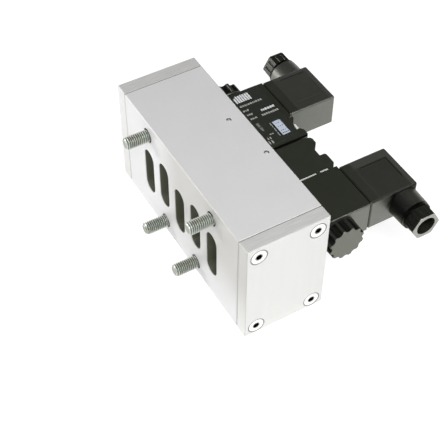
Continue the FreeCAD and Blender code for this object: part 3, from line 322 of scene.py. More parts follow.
def anodised(recipe, node_name):
    """A fine blasted surface, with painted shade along its edges, in its drillings, in the far
    joint and on the mounting face.
    """
    recipe.mottle(size=0.35 * MM, amount=0.02, detail=3.0)
    faces = recipe.faces_of_box(node_name, FACE_REACH)
    total = recipe.math("ADD", recipe.math("ADD", faces[X], faces[Y]), faces[Z])
    # painted shade along the edges
    recipe.tint(recipe.step(total, *EDGE_SHADE_RANGE, 0.0, EDGE_SHADE_SHARE), EDGE_SHADE_COLOUR)
    # painted shade in the far joint
    recipe.tint(far_joint_shade(recipe), FAR_JOINT_SHADE_COLOUR)
    # painted shade on the mounting face
    recipe.tint(mount_shade(recipe), MOUNT_SHADE_COLOUR)
    # painted shade in the drillings
    recipe.tint(recipe.fade(recipe.largest(*faces), *DRILLING_SHADE_RANGE), DRILLING_SHADE_COLOUR)
    recipe.uneven_gloss(size=0.5 * MM, amount=0.04)
    recipe.grain(size=0.22 * MM, depth=0.004 * MM, detail=3.0)
    return recipe.done()


def block_aluminium():
    recipe = Recipe("anodised_block", BLOCK_COLOUR, roughness=0.46, metallic=ANODISED_METALLIC)
    recipe.mottle(size=24 * MM, amount=0.012)
    return anodised(recipe, "valve_body")


def plate_aluminium(node_name):
    """An end plate, sawn and blasted, with faint upright streaks on its broad face."""
    recipe = Recipe("anodised_" + node_name, PLATE_COLOUR, roughness=0.44,
                    metallic=ANODISED_METALLIC)
    recipe.mottle(size=5 * MM, amount=0.010, stretch=(1.0, 1.0, 12.0))
    faces = recipe.faces_of_box(node_name, FACE_REACH)
    streaks = recipe.noise(size=0.9 * MM, stretch=(14.0, 1.0, 14.0))
    streaks = recipe.step(streaks, *SAWN_RANGE, *SAWN_SHARES)
    recipe.tint(recipe.product(faces[Z], streaks), SAWN_COLOUR)
    screws = recipe.screw_distance(node_name.replace("plate", "plate_screws"), END_HEAD_RADIUS)
    # painted shade in the gap round each screw's head
    recipe.tint(recipe.fade(screws, *COUNTERSINK_SHADE_RANGE), COUNTERSINK_SHADE_COLOUR)
    return anodised(recipe, node_name)


# Other metals

ZINC_GREY = (0.57, 0.615, 0.56)
ZINC_YELLOW = (0.52, 0.52, 0.42)
BRACKET_GREY = (0.86, 0.87, 0.85)
BRACKET_YELLOW = (0.78, 0.78, 0.74)
BALL_GREY = (0.86, 0.86, 0.85)
BALL_YELLOW = (0.80, 0.80, 0.78)
CLOUD_RANGE = (0.42, 0.66)
CLOUD_SHARE = 0.7
# painted shade in the thread's roots
ROOT_SHADE_COLOUR = (0.060, 0.062, 0.050)
ROOT_RANGE = (0.15, 0.95)
ROOT_SHARE = 0.72
HEAD_COLOUR = (0.95, 0.95, 0.93)
# painted shade in the screws' sockets, on their rims and in their recesses
HEAD_SHADE_SHARE = 0.75
SOCKET_SHADE_COLOUR = (0.30, 0.30, 0.28)
HEAD_SOCKET_RANGE = (2.1 * MM, 2.7 * MM)
HEAD_RIM_SHADE_COLOUR = (0.22, 0.22, 0.20)
HEAD_RIM_RANGE = (4.5 * MM, 4.85 * MM)
HEAD_RECESS_SHADE_COLOUR = (0.085, 0.087, 0.072)
HEAD_INSIDE_DEPTH = 0.35 * MM
BRASS_COLOUR = (0.80, 0.60, 0.30)
BRASS_STAIN = (0.55, 0.38, 0.19)
BRASS_STAIN_RANGE = (0.45, 0.75)
BRASS_STAIN_SHARE = 0.5


def plated_steel(name, colour, second, roughness, metallic):
    """Zinc plated steel: a grey with cloudy yellow and green passivation."""
    recipe = Recipe(name, colour, roughness, metallic)
    cloud = recipe.noise(size=4.5 * MM)
    recipe.tint(recipe.step(cloud, *CLOUD_RANGE, 0.0, CLOUD_SHARE), second)
    recipe.mottle(size=0.5 * MM, amount=0.05)
    recipe.uneven_gloss(size=1.6 * MM, amount=0.05)
    recipe.grain(size=0.2 * MM, depth=0.001 * MM)
    return recipe


def thread_steel():
    """The same plating on the bolts, with painted shade in the thread's roots."""
    recipe = plated_steel("zinc_steel", ZINC_GREY, ZINC_YELLOW, roughness=0.34, metallic=0.6)
    root = recipe.step(recipe.attribute("root"), *ROOT_RANGE, 0.0, ROOT_SHARE)
    recipe.tint(root, ROOT_SHADE_COLOUR)
    return recipe.done()


def screw_steel(node_name):
    """Bright heads, with painted shade in their sockets, on their rims and in their recesses."""
    recipe = Recipe("steel_" + node_name, HEAD_COLOUR, roughness=0.24, metallic=1.0)
    recipe.mottle(size=0.6 * MM, amount=0.03)
    middle = recipe.screw_distance(node_name, END_HEAD_RADIUS)
    recipe.tint(recipe.fade(middle, *HEAD_SOCKET_RANGE, HEAD_SHADE_SHARE), SOCKET_SHADE_COLOUR)
    recipe.tint(recipe.step(middle, *HEAD_RIM_RANGE, 0.0, HEAD_SHADE_SHARE), HEAD_RIM_SHADE_COLOUR)
    inside = recipe.below(Y, outer_face(node_name), HEAD_INSIDE_DEPTH)
    recipe.tint(inside, HEAD_RECESS_SHADE_COLOUR)
    recipe.uneven_gloss(size=0.9 * MM, amount=0.05)
    recipe.grain(size=0.1 * MM, depth=0.001 * MM)
    return recipe.done()


def brass():
    recipe = Recipe("brass", BRASS_COLOUR, roughness=0.28, metallic=1.0)
    stain = recipe.noise(size=2.5 * MM)
    recipe.tint(recipe.step(stain, *BRASS_STAIN_RANGE, 0.0, BRASS_STAIN_SHARE), BRASS_STAIN)
    recipe.uneven_gloss(size=0.8 * MM, amount=0.07)
    recipe.grain(size=0.12 * MM, depth=0.002 * MM)
    return recipe.done()


# Plain materials: colour, roughness and metallic, then size in mm and amount of the patches and
# of the uneven gloss, and size and depth in mm of the grain with its stretch

PLAIN_MATERIALS = {
    "machined_aluminium": ((0.72, 0.72, 0.73), 0.24, 1.0,
                           (2.0, 0.03), (3.0, 0.05), (0.12, 0.002), (8.0, 1.0, 8.0)),
    "bright_steel": ((0.78, 0.78, 0.77), 0.26, 0.9,
                     (0.6, 0.04), (0.9, 0.06), (0.1, 0.002), None),
    "black_rubber": ((0.022, 0.022, 0.021), 0.72, 0.0,
                     (1.5, 0.15), (0.8, 0.06), (0.3, 0.006), None),
    "fibre_gasket": ((0.15, 0.15, 0.14), 0.75, 0.0,
                     (0.4, 0.2), None, (0.2, 0.01), None),
    "white_acetal": ((0.86, 0.86, 0.84), 0.42, 0.0,
                     (4.0, 0.02), (1.0, 0.04), (0.3, 0.003), None),
}
INK_ROUGHNESS = 0.55
INK_THIN_RANGE = (0.5, 0.72)
INK_THIN_SHARE = 0.6
# how much of its colour thin ink keeps
INK_THIN_COLOUR = 0.35


def plain_material(name):
    colour, roughness, metallic, patches, gloss, grain, stretch = PLAIN_MATERIALS[name]
    recipe = Recipe(name, colour, roughness, metallic)
    recipe.mottle(patches[0] * MM, patches[1])
    if gloss:
        recipe.uneven_gloss(gloss[0] * MM, gloss[1])
    recipe.grain(grain[0] * MM, grain[1] * MM, stretch)
    return recipe.done()


def ink(name, colour):
    """Screen printed ink, thin in places."""
    recipe = Recipe(name, colour, INK_ROUGHNESS)
    thin = recipe.noise(size=0.35 * MM, detail=3.0)
    thin = recipe.step(thin, *INK_THIN_RANGE, 0.0, INK_THIN_SHARE)
    recipe.tint(thin, [INK_THIN_COLOUR * part for part in colour])
    recipe.grain(size=0.2 * MM, depth=0.003 * MM)
    return recipe.done()


# Black plastics

PLASTIC_TINT = (0.98, 1.0, 0.90, 1.0)
PLASTIC_GLOSS = 1.0
PLASTIC_IOR = 1.85
PILOT_COLOUR = (0.0120, 0.0150, 0.0080)
COIL_COLOUR = (0.0120, 0.0140, 0.0078)
FILM_COLOUR = (0.0120, 0.0150, 0.0110)
PLUG_COLOUR = (0.0160, 0.0172, 0.0135)
FAR_PLUG_COLOUR = (0.0270, 0.0290, 0.0240)
# painted shade on the black plastics: near black, with its sheen dulled
PAINTED_SHADE_COLOUR = (0.010, 0.0105, 0.009)
PAINTED_SHADE_METALLIC = 0.9

# nuts, whose outer ends are made paler by a painted reflection
NUT_COLOUR = (0.0080, 0.0095, 0.0060)
NUT_IOR = 1.58
NUT_END_REFLECTION_COLOUR = (0.080, 0.086, 0.066)
NUT_END_DEPTH = 0.4 * MM
NUT_END_RANGE = (0.0, 0.6)
GLAND_RIM_REFLECTION_COLOUR = (0.30, 0.30, 0.275)
NECK_AXIS = 90.2 * MM
NECK_RADIUS = 10.1 * MM
# painted shade on the gland nut's collar and on its side towards the block
COLLAR_RANGE = (73.1 * MM, 73.8 * MM)
GLAND_SHADE_RANGE = (NECK_AXIS - 5.0 * MM, NECK_AXIS - 3.0 * MM)
GLAND_SHADE = 0.6
# depths below the coil nut's outside, for the painted shade in its flutes
FLUTE_FULL = 1.0 * MM
FLUTE_START = 0.2 * MM
FLUTE_SHADE = 0.8

# plug: its base, which is darker, and its broad faces with a rubbed rim outside a moulded line
BASE_COLOUR = (0.0130, 0.0150, 0.0095)
BASE_RANGE = (73.2 * MM, 73.7 * MM)
RIDGE = (73.2 * MM, 73.4 * MM)
RIDGE_SOFT = 0.2 * MM
RIM_COLOUR = (0.0440, 0.0450, 0.0400)
RIM_END_RANGE = (95.3 * MM, 95.9 * MM)
NEAR_RIM_RANGE = (32.2 * MM, 33.0 * MM)
FAR_RIM_RANGE = (56.2 * MM, 56.7 * MM)
BROAD_FACE_DEPTH = (0.02 * MM, 0.06 * MM)
# painted shade of the far plug's moulded line
FAR_LINE_ACROSS = (55.4 * MM, 56.0 * MM)
FAR_LINE_ALONG = (77.5 * MM, 94.5 * MM)
FAR_LINE_SOFT = 0.2 * MM
FAR_LINE_END_SOFT = 0.5 * MM
FAR_LINE_SHADE = 0.5
# painted shade in the near plug's moulded line
NEAR_LINE_START = (0.04 * MM, 0.10 * MM)
NEAR_LINE_BOTTOM = (0.4 * MM, 0.9 * MM)
NEAR_LINE_SHADE = 0.8

# painted shade on the near plug's neck, on one side and round its root
NECK_START = (59.8 * MM, 60.0 * MM)
NECK_SIDE = (NECK_AXIS - 8.5 * MM, NECK_AXIS + 1.0 * MM)
ROOT_FACE = (59.1 * MM, 59.6 * MM)
ROOT_RING = (NECK_RADIUS + 1.0 * MM, NECK_RADIUS + 3.0 * MM)
ROOT_RING_HEIGHT = (AXIS_HEIGHT - 1.0 * MM, AXIS_HEIGHT + 5.0 * MM)
ROOT_TOP_HEIGHT = (AXIS_HEIGHT + 5.0 * MM, AXIS_HEIGHT + 8.0 * MM)
ROOT_TOP_ALONG = (NECK_AXIS - 12.0 * MM, NECK_AXIS - 8.0 * MM)

# painted shade where the two pilot valve bodies meet on top
LAP = (4.4 * MM, 6.1 * MM)
LAP_SOFT = 0.3 * MM
LAP_HEIGHT = (46.35 * MM, 46.75 * MM)

# from the black half, which is painted shade, to the plug's half of the joint between coil and
# plug
JOINT_RANGE = (66.6 * MM, 66.8 * MM)


def black_plastic(name, colour, roughness, grain_depth, ior=PLASTIC_IOR):
    """Moulded, glass filled plastic with a fine spark eroded grain."""
    recipe = Recipe(name, colour, roughness, IOR=ior, Specular_Tint=PLASTIC_TINT,
                    Specular_IOR_Level=PLASTIC_GLOSS)
    recipe.mottle(size=7 * MM, amount=0.08)
    recipe.mottle(size=0.3 * MM, amount=0.12, detail=3.0)
    recipe.uneven_gloss(size=1.1 * MM, amount=0.04)
    recipe.grain(size=0.24 * MM, depth=grain_depth, detail=3.0)
    return recipe


def paint_shade(recipe, mask):
    """Paints shade, dulling the plastic to near black where the mask is 1, and gives back its
    material.
    """
    recipe.tint(mask, PAINTED_SHADE_COLOUR)
    recipe.feed(recipe.shader.inputs["Metallic"], recipe.product(mask, PAINTED_SHADE_METALLIC))
    return recipe.done()


def nut_plastic(node_name, end_reflection_colour, roughness):
    """Satin plastic, with a painted reflection that makes the end that stands outward paler, and
    the mask of that end.
    """
    recipe = black_plastic("plastic_" + node_name, NUT_COLOUR, roughness,
                           grain_depth=0.004 * MM, ior=NUT_IOR)
    inside = recipe.below(Y, outer_face(node_name), NUT_END_DEPTH)
    end = recipe.fade(inside, *NUT_END_RANGE)
    recipe.tint(end, end_reflection_colour)
    return recipe, end


def gland_plastic(node_name):
    """Painted shade: black on its collar, and darker on the side towards the block."""
    recipe, end = nut_plastic(node_name, GLAND_RIM_REFLECTION_COLOUR, roughness=0.38)
    collar = recipe.fade(recipe.math("ABSOLUTE", recipe.coordinate(Y)), *COLLAR_RANGE)
    shaded = recipe.fade(recipe.coordinate(X), *GLAND_SHADE_RANGE, GLAND_SHADE)
    return paint_shade(recipe, recipe.largest(collar, recipe.without(shaded, end)))


def coil_nut_plastic(node_name):
    """Painted shade, darkest in the flutes."""
    recipe, end = nut_plastic(node_name, NUT_END_REFLECTION_COLOUR, roughness=0.48)
    low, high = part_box(node_name)
    radius = (high[X] - low[X]) / 2
    from_axis = recipe.distance_from_line((high[X] + low[X]) / 2, AXIS_HEIGHT)
    in_flute = recipe.fade(from_axis, radius - FLUTE_FULL, radius - FLUTE_START, FLUTE_SHADE)
    return paint_shade(recipe, recipe.product(in_flute, recipe.outside(end)))


def near_plug_shade(recipe, along, outward, inside):
    """Mask of the painted shade on the near plug: in its moulded line, on one side of its neck and
    round the neck's root.
    """
    line = recipe.product(recipe.step(inside, *NEAR_LINE_START),
                          recipe.fade(inside, *NEAR_LINE_BOTTOM, NEAR_LINE_SHADE))
    neck = recipe.step(outward, *NECK_START)
    neck_side = recipe.product(neck, recipe.fade(along, *NECK_SIDE))
    up = recipe.coordinate(Z)
    from_axis = recipe.distance_from_line(NECK_AXIS, AXIS_HEIGHT)
    ring = recipe.product(recipe.step(up, *ROOT_RING_HEIGHT), recipe.fade(from_axis, *ROOT_RING))
    top = recipe.product(recipe.step(up, *ROOT_TOP_HEIGHT), recipe.step(along, *ROOT_TOP_ALONG))
    root = recipe.product(recipe.step(outward, *ROOT_FACE), recipe.largest(ring, top))
    return recipe.largest(neck_side, recipe.without(root, neck), line)


def far_plug_shade(recipe, along, outward, on_broad_face):
    """Mask of the painted shade of the far plug's moulded line, which lies nearer to its neck and
    has no groove of its own.
    """
    across = recipe.band(outward, *FAR_LINE_ACROSS, FAR_LINE_SOFT)
    reach = recipe.band(along, *FAR_LINE_ALONG, FAR_LINE_END_SOFT)
    return recipe.product(across, reach, on_broad_face, FAR_LINE_SHADE)


def plug_plastic(node_name):
    """The plug's plastic, with a paler rim on its broad faces, painted shade in its moulded lines,
    and on the near plug painted shade on its neck.
    """
    low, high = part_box(node_name)
    far = node_name.endswith("far")
    colour = FAR_PLUG_COLOUR if far else PLUG_COLOUR
    recipe = black_plastic("plastic_" + node_name, colour, roughness=0.42,
                           grain_depth=0.008 * MM)
    along = recipe.coordinate(X)
    outward = recipe.product(recipe.coordinate(Y), 1.0 if far else -1.0)
    inside = recipe.depth_inside(Z, high[Z], (low[Z] + high[Z]) / 2)
    on_broad_face = recipe.fade(inside, *BROAD_FACE_DEPTH)
    if far:
        rim = recipe.step(outward, *FAR_RIM_RANGE)
    else:
        rim = recipe.fade(outward, *NEAR_RIM_RANGE)
    rim = recipe.largest(rim, recipe.step(along, *RIM_END_RANGE))
    past_base = recipe.step(along, *BASE_RANGE)
    recipe.tint(recipe.outside(past_base), BASE_COLOUR)
    rim = recipe.largest(recipe.product(rim, past_base), recipe.band(along, *RIDGE, RIDGE_SOFT))
    recipe.tint(recipe.product(rim, on_broad_face), RIM_COLOUR)
    if far:
        return paint_shade(recipe, far_plug_shade(recipe, along, outward, on_broad_face))
    return paint_shade(recipe, near_plug_shade(recipe, along, outward, inside))


def pilot_plastic():
    """Painted shade, near black, where the two valve bodies meet on top."""
    recipe = black_plastic("pilot_plastic", PILOT_COLOUR, roughness=0.43,
                           grain_depth=0.010 * MM)
    lap = recipe.band(recipe.coordinate(Y), *LAP, LAP_SOFT)
    return paint_shade(recipe, recipe.product(lap, recipe.step(recipe.coordinate(Z), *LAP_HEIGHT)))


def joint_rubber():
    """Painted shade, near black, along the coil, and like the plug where the plug squeezes it."""
    recipe = black_plastic("joint_rubber", BASE_COLOUR, roughness=0.42,
                           grain_depth=0.004 * MM)
    return paint_shade(recipe, recipe.fade(recipe.coordinate(X), *JOINT_RANGE))


# Small mesh tools

def new_piece(name, mesh_maker, materials, smooth_below=40.0):
    """A piece from a function that fills a bmesh."""
    builder = bmesh.new()
    mesh_maker(builder)
    bmesh.ops.recalc_face_normals(builder, faces=builder.faces)
    mesh = bpy.data.meshes.new(name)
    builder.to_mesh(mesh)
    builder.free()
    for material in materials:
        mesh.materials.append(material)
    mesh.polygons.foreach_set("use_smooth", [True] * len(mesh.polygons))
    mesh.set_sharp_from_angle(angle=math.radians(smooth_below))
    item = bpy.data.objects.new(name, mesh)
    bpy.context.scene.collection.objects.link(item)
    return item


def bridge(builder, first, second):
    """Faces between two rings with as many points."""
    count = len(first)
    for index in range(count):
        follow = (index + 1) % count
        builder.faces.new((first[index], first[follow], second[follow], second[index]))


def close_ring(builder, ring, place):
    """Faces from a ring to one point, which is given back."""
    centre = builder.verts.new(place)
    count = len(ring)
    for index in range(count):
        builder.faces.new((ring[index], ring[(index + 1) % count], centre))
    return centre


def turn_over(builder):
    """Turns a shape made for the far side to the near side."""
    for vertex in builder.verts:
        height = vertex.co.z - AXIS_HEIGHT
        vertex.co.y = -vertex.co.y
        vertex.co.z = AXIS_HEIGHT - height


# Through bolts with real threads

BOLT_STEPS = 48
BOLT_RADIUS = 4.0 * MM
BOLT_PITCH = 1.25 * MM
BOLT_ROOT_DEPTH = 0.70 * MM
BOLT_TIP_RADIUS = 2.9 * MM
BOLT_TIP_CHAMFER = 1.1 * MM
BOLT_TIP_RIM = 0.4 * MM
# how much of the dark colour of the thread's roots the tip's end face takes
BOLT_TIP_DARKNESS = 0.7
BOLT_SHANK_RADIUS = 3.5 * MM
BOLT_RUNOUT = 1.4 * MM
BOLT_THREAD_START = -25.6 * MM
BOLT_TIP = -40.8 * MM
BOLT_SEAT = 14.2 * MM
BOLT_HEAD_RADIUS = 6.5 * MM
BOLT_HEAD_TOP = 22.2 * MM
BOLT_HEAD_CHAMFER = 0.5 * MM
BOLT_KNURL = 0.12 * MM
BOLT_KNURL_START = 0.2 * MM
BOLT_KNURL_END = 0.6 * MM
BOLT_SOCKET = 6.0 * MM
BOLT_SOCKET_DEPTH = 4.0 * MM
BOLT_SOCKET_CONE = 0.8 * MM
# how far each bolt's thread is turned on from the last one's
BOLT_TURN = 0.9
WELD_DISTANCE = 1e-6
PORT_PITCH = 18.7 * MM
BOLT_RISE = 28.0 * MM
BOLT_PLACES = [
    (-2 * PORT_PITCH, AXIS_HEIGHT + BOLT_RISE),
    (2 * PORT_PITCH, AXIS_HEIGHT + BOLT_RISE),
    (-PORT_PITCH, AXIS_HEIGHT - BOLT_RISE),
    (PORT_PITCH, AXIS_HEIGHT - BOLT_RISE),
]
# share of a pitch, and share of the thread's depth there
THREAD_PROFILE = [(0.0, 1.0), (0.10, 1.08), (0.20, 1.0), (0.55, 0.0), (0.65, 0.0)]


def bolt_point(along, radius, angle, place):
    y, z = place
    return (along, y + radius * math.cos(angle), z + radius * math.sin(angle))


def thread_radius(along, depth_share):
    """Radius of the thread, which runs out at its start and is chamfered at its tip."""
    from_start = (BOLT_THREAD_START - along) / BOLT_RUNOUT
    fade = min(1.0, max(0.0, from_start))
    radius = BOLT_RADIUS - BOLT_ROOT_DEPTH * depth_share
    radius = BOLT_SHANK_RADIUS + (radius - BOLT_SHANK_RADIUS) * fade
    from_tip = along - BOLT_TIP
    slope = (BOLT_RADIUS - BOLT_TIP_RADIUS) / BOLT_TIP_CHAMFER
    return min(radius, BOLT_TIP_RADIUS + slope * from_tip)


def add_thread(builder, place, first_angle):
    """Rows that follow the helix, each marked with its depth in the thread."""
    turns = math.ceil((BOLT_THREAD_START - BOLT_TIP) / BOLT_PITCH) + 1
    root = builder.verts.layers.float["root"]
    rows = []
    for turn in range(-1, turns + 1):
        for share, depth_share in THREAD_PROFILE:
            row = []
            for step in range(BOLT_STEPS + 1):
                travel = (turn + share + step / BOLT_STEPS) * BOLT_PITCH
                along = max(BOLT_TIP, min(BOLT_THREAD_START, BOLT_THREAD_START - travel))
                radius = thread_radius(along, depth_share)
                angle = first_angle + 2 * math.pi * step / BOLT_STEPS
                vertex = builder.verts.new(bolt_point(along, radius, angle, place))
                vertex[root] = depth_share if along > BOLT_TIP else 0.0
                row.append(vertex)
            rows.append(row)
    for first, second in zip(rows, rows[1:]):
        for step in range(BOLT_STEPS):
            builder.faces.new((first[step], first[step + 1], second[step + 1], second[step]))


def bolt_ring(builder, place, along, radii, first_angle):
    ring = []
    for step in range(BOLT_STEPS):
        angle = first_angle + 2 * math.pi * step / BOLT_STEPS
        ring.append(builder.verts.new(bolt_point(along, radii[step], angle, place)))
    return ring


def even_radii(radius):
    return [radius] * BOLT_STEPS


def knurled_radii(radius):
    return [radius - BOLT_KNURL * (step % 2) for step in range(BOLT_STEPS)]


def hexagon_radii(across_flats):
    radii = []
    for step in range(BOLT_STEPS):
        angle = 2 * math.pi * step / BOLT_STEPS
        offset = (angle + math.pi / 6) % (math.pi / 3) - math.pi / 6
        radii.append(across_flats / 2 / math.cos(offset))
    return radii


def add_bolt(builder, place, first_angle):
    """A socket head bolt: its thread, its shank and head, and its chamfered tip."""
    add_thread(builder, place, first_angle)
    shank = even_radii(BOLT_SHANK_RADIUS)
    head = even_radii(BOLT_HEAD_RADIUS - BOLT_KNURL)
    knurl = knurled_radii(BOLT_HEAD_RADIUS)
    socket = hexagon_radii(BOLT_SOCKET)
    shoulder = BOLT_HEAD_TOP - BOLT_HEAD_CHAMFER
    socket_floor = BOLT_HEAD_TOP - BOLT_SOCKET_DEPTH
    profile = [
        (BOLT_THREAD_START, shank),
        (BOLT_SEAT, shank),
        (BOLT_SEAT, head),
        (BOLT_SEAT + BOLT_KNURL_START, knurl),
        (shoulder - BOLT_KNURL_END, knurl),
        (shoulder, head),
        (BOLT_HEAD_TOP, even_radii(BOLT_HEAD_RADIUS - BOLT_HEAD_CHAMFER - BOLT_KNURL)),
        (BOLT_HEAD_TOP, socket),
        (socket_floor, socket),
    ]
    rings = [bolt_ring(builder, place, along, radii, first_angle) for along, radii in profile]
    for first, second in zip(rings, rings[1:]):
        bridge(builder, first, second)
    close_ring(builder, rings[-1], (socket_floor - BOLT_SOCKET_CONE, *place))
    tip_ring = bolt_ring(builder, place, BOLT_TIP, even_radii(BOLT_TIP_RADIUS), first_angle)
    inner = even_radii(BOLT_TIP_RADIUS - BOLT_TIP_RIM)
    inner_ring = bolt_ring(builder, place, BOLT_TIP, inner, first_angle)
    bridge(builder, tip_ring, inner_ring)
    centre = close_ring(builder, inner_ring, (BOLT_TIP, *place))
    root = builder.verts.layers.float["root"]
    for vertex in (*inner_ring, centre):
        vertex[root] = BOLT_TIP_DARKNESS


def make_bolts(material):
    def fill(builder):
        builder.verts.layers.float.new("root")
        for index, place in enumerate(BOLT_PLACES):
            add_bolt(builder, place, BOLT_TURN * index)
        bmesh.ops.remove_doubles(builder, verts=builder.verts, dist=WELD_DISTANCE)

    item = new_piece("threaded_bolts", fill, [material], smooth_below=25.0)
    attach(item, BODY)
    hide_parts("mounting_bolts")


# Gasket between coil and plug, which fills their joint up to the edge

JOINT_START = 65.8 * MM
JOINT_END = 67.2 * MM
JOINT_NEAR = 26.3 * MM
JOINT_FAR = 59.4 * MM
JOINT_HALF_WIDTH = 10.75 * MM
JOINT_WALL = 2.4 * MM
JOINT_CORNER = 1.0 * MM


def joint_ring(builder, along, inset):
    """A rectangle round the joint, with its corners cut."""
    low, high = JOINT_NEAR + inset, JOINT_FAR - inset
    half = JOINT_HALF_WIDTH - inset
    cut = JOINT_CORNER
    outline = [
        (low + cut, -half), (high - cut, -half), (high, -half + cut), (high, half - cut),
        (high - cut, half), (low + cut, half), (low, half - cut), (low, -half + cut),
    ]
    return [builder.verts.new((along, y, AXIS_HEIGHT + z)) for y, z in outline]


def make_joint(side, material):
    def fill(builder):
        rings = [
            joint_ring(builder, JOINT_START, 0.0),
            joint_ring(builder, JOINT_END, 0.0),
            joint_ring(builder, JOINT_END, JOINT_WALL),
            joint_ring(builder, JOINT_START, JOINT_WALL),
        ]
        for first, second in zip(rings, rings[1:] + rings[:1]):
            bridge(builder, first, second)
        if side == "near":
            turn_over(builder)

    item = new_piece("joint_gasket_" + side, fill, [material], smooth_below=30.0)
    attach(item, BODY)
    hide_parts("plug_gasket_" + side)


# Return spring, copied from the part into a piece of its own on the valve body


def make_spring(side, material):
    node_name = "plunger_spring_" + side

    def fill(builder):
        builder.from_mesh(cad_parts[node_name].data)

    item = new_piece("return_spring_" + side, fill, [material], smooth_below=60.0)
    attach(item, BODY)
    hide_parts(node_name)
    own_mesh(item)


# Label on the broad face of each pilot valve: a dark film with plain printed bars

PILOT_HALF_WIDTH = 11.15 * MM
FILM_THICKNESS = 0.10 * MM
INK_THICKNESS = 0.03 * MM
SPOT_THICKNESS = 0.02 * MM
# how deep each layer sits in the one below
LAYER_SINK = 0.01 * MM
TAB_BOTTOM = 1.2 * MM
TAB_TOP = 0.2 * MM
FILM_ROUNDING = 1.2 * MM
INK_ROUNDING = 0.25 * MM
SPOT_ROUNDING = 0.2 * MM
TAB_ROUNDING = 0.4 * MM
# a plate is at least this many times as wide as the rounding of its corners
ROUNDING_LIMIT = 2.2
CORNER_STEPS = 4
WHITE_INK = (0.86, 0.88, 0.90)
GREY_INK = (0.46, 0.47, 0.44)
FAINT_INK = (0.21, 0.22, 0.22)
BLUE_INK = (0.66, 0.74, 0.86)
# each box is its lowest x and y and its highest x and y, in mm
FILM_OUTLINE = (35.6, 8.6, 61.9, 59.6)
PALE_FIELD = (52.5, 12.9, 57.9, 25.8)
MARKER_TAB = (62.0, 13.3, 64.2, 17.5)
# rows of plain blocks: lowest y, height, first x, gap, and the blocks' widths, in mm
WHITE_ROWS = [
    (50.3, 5.2, 42.3, 0.40, (1.2,)),
    (50.3, 6.3, 43.9, 0.40, (1.2, 1.2, 1.2, 1.2, 1.2, 1.2)),
    (37.1, 1.9, 52.3, 0.35, (0.8, 1.2, 1.3, 1.5, 1.2, 1.6)),
]
GREY_ROWS = [
    (46.1, 1.5, 42.4, 0.40, (1.3, 1.0, 1.2, 0.5, 1.1, 1.3, 0.9, 0.5, 1.3, 1.2, 1.1)),
    (41.7, 1.4, 42.0, 0.40, (1.3, 0.6, 1.2)),
    (37.5, 1.5, 42.3, 0.40, (1.1, 0.9, 1.1)),
    (33.5, 1.4, 42.3, 0.40, (1.1, 1.3, 1.5)),
    (33.2, 1.6, 50.5, 0.35, (1.2, 1.0, 1.3, 1.1, 1.3, 1.2, 0.9, 1.2)),
    (13.2, 3.4, 50.55, 0.4, (0.55,)),
    (17.2, 3.8, 50.55, 0.4, (0.55,)),
    (21.6, 4.2, 50.55, 0.4, (0.55,)),
    (16.6, 0.8, 45.6, 0.4, (1.2, 1.2)),
    (9.6, 2.8, 41.6, 1.1, (0.8, 1.0)),
    (13.4, 2.0, 42.6, 0.9, (0.7, 0.7)),
]
FAINT_ROWS = [
    (21.8, 3.2, 43.2, 0.5, (1.6,)),
    (25.6, 3.6, 43.0, 0.5, (1.6,)),
]
SPOT_ROWS = [
    (14.0, 0.9, 53.2, 0.5, (0.8, 0.6, 0.9, 0.5)),
    (16.2, 0.7, 53.4, 0.7, (0.5, 0.9, 0.5)),
    (20.2, 0.7, 53.6, 0.8, (0.7, 0.5, 0.8)),
    (23.4, 0.6, 54.0, 0.9, (0.5, 0.9)),
]


def boxes_in_rows(rows):
    boxes = []
    for low, height, left, gap, widths in rows:
        for width in widths:
            boxes.append((left, low, left + width, low + height))
            left += width + gap
    return boxes


def add_slab(builder, box, low, high, rounding):
    """A flat plate with rounded corners, from the height low to the height high."""
    left, near, right, far = (value * MM for value in box)
    radius = min(rounding, (right - left) / ROUNDING_LIMIT, (far - near) / ROUNDING_LIMIT)
    corners = [(right, far, 0), (left, far, 90), (left, near, 180), (right, near, 270)]
    outline = []
    for x, y, start in corners:
        centre_x = x - math.copysign(radius, x - (left + right) / 2)
        centre_y = y - math.copysign(radius, y - (near + far) / 2)
        for step in range(CORNER_STEPS + 1):
            angle = math.radians(start + 90 * step / CORNER_STEPS)
            reach_x = radius * math.cos(angle)
            reach_y = radius * math.sin(angle)
            outline.append((centre_x + reach_x, centre_y + reach_y))
    lower = [builder.verts.new((x, y, low)) for x, y in outline]
    upper = [builder.verts.new((x, y, high)) for x, y in outline]
    bridge(builder, lower, upper)
    builder.faces.new(upper)
    builder.faces.new(list(reversed(lower)))


def make_marks(name, side, boxes, low, high, rounding, material):
    def fill(builder):
        for box in boxes:
            add_slab(builder, box, low, high, rounding)
        if side == "near":
            turn_over(builder)

    item = new_piece(f"{name}_{side}", fill, [material])
    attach(item, BODY)


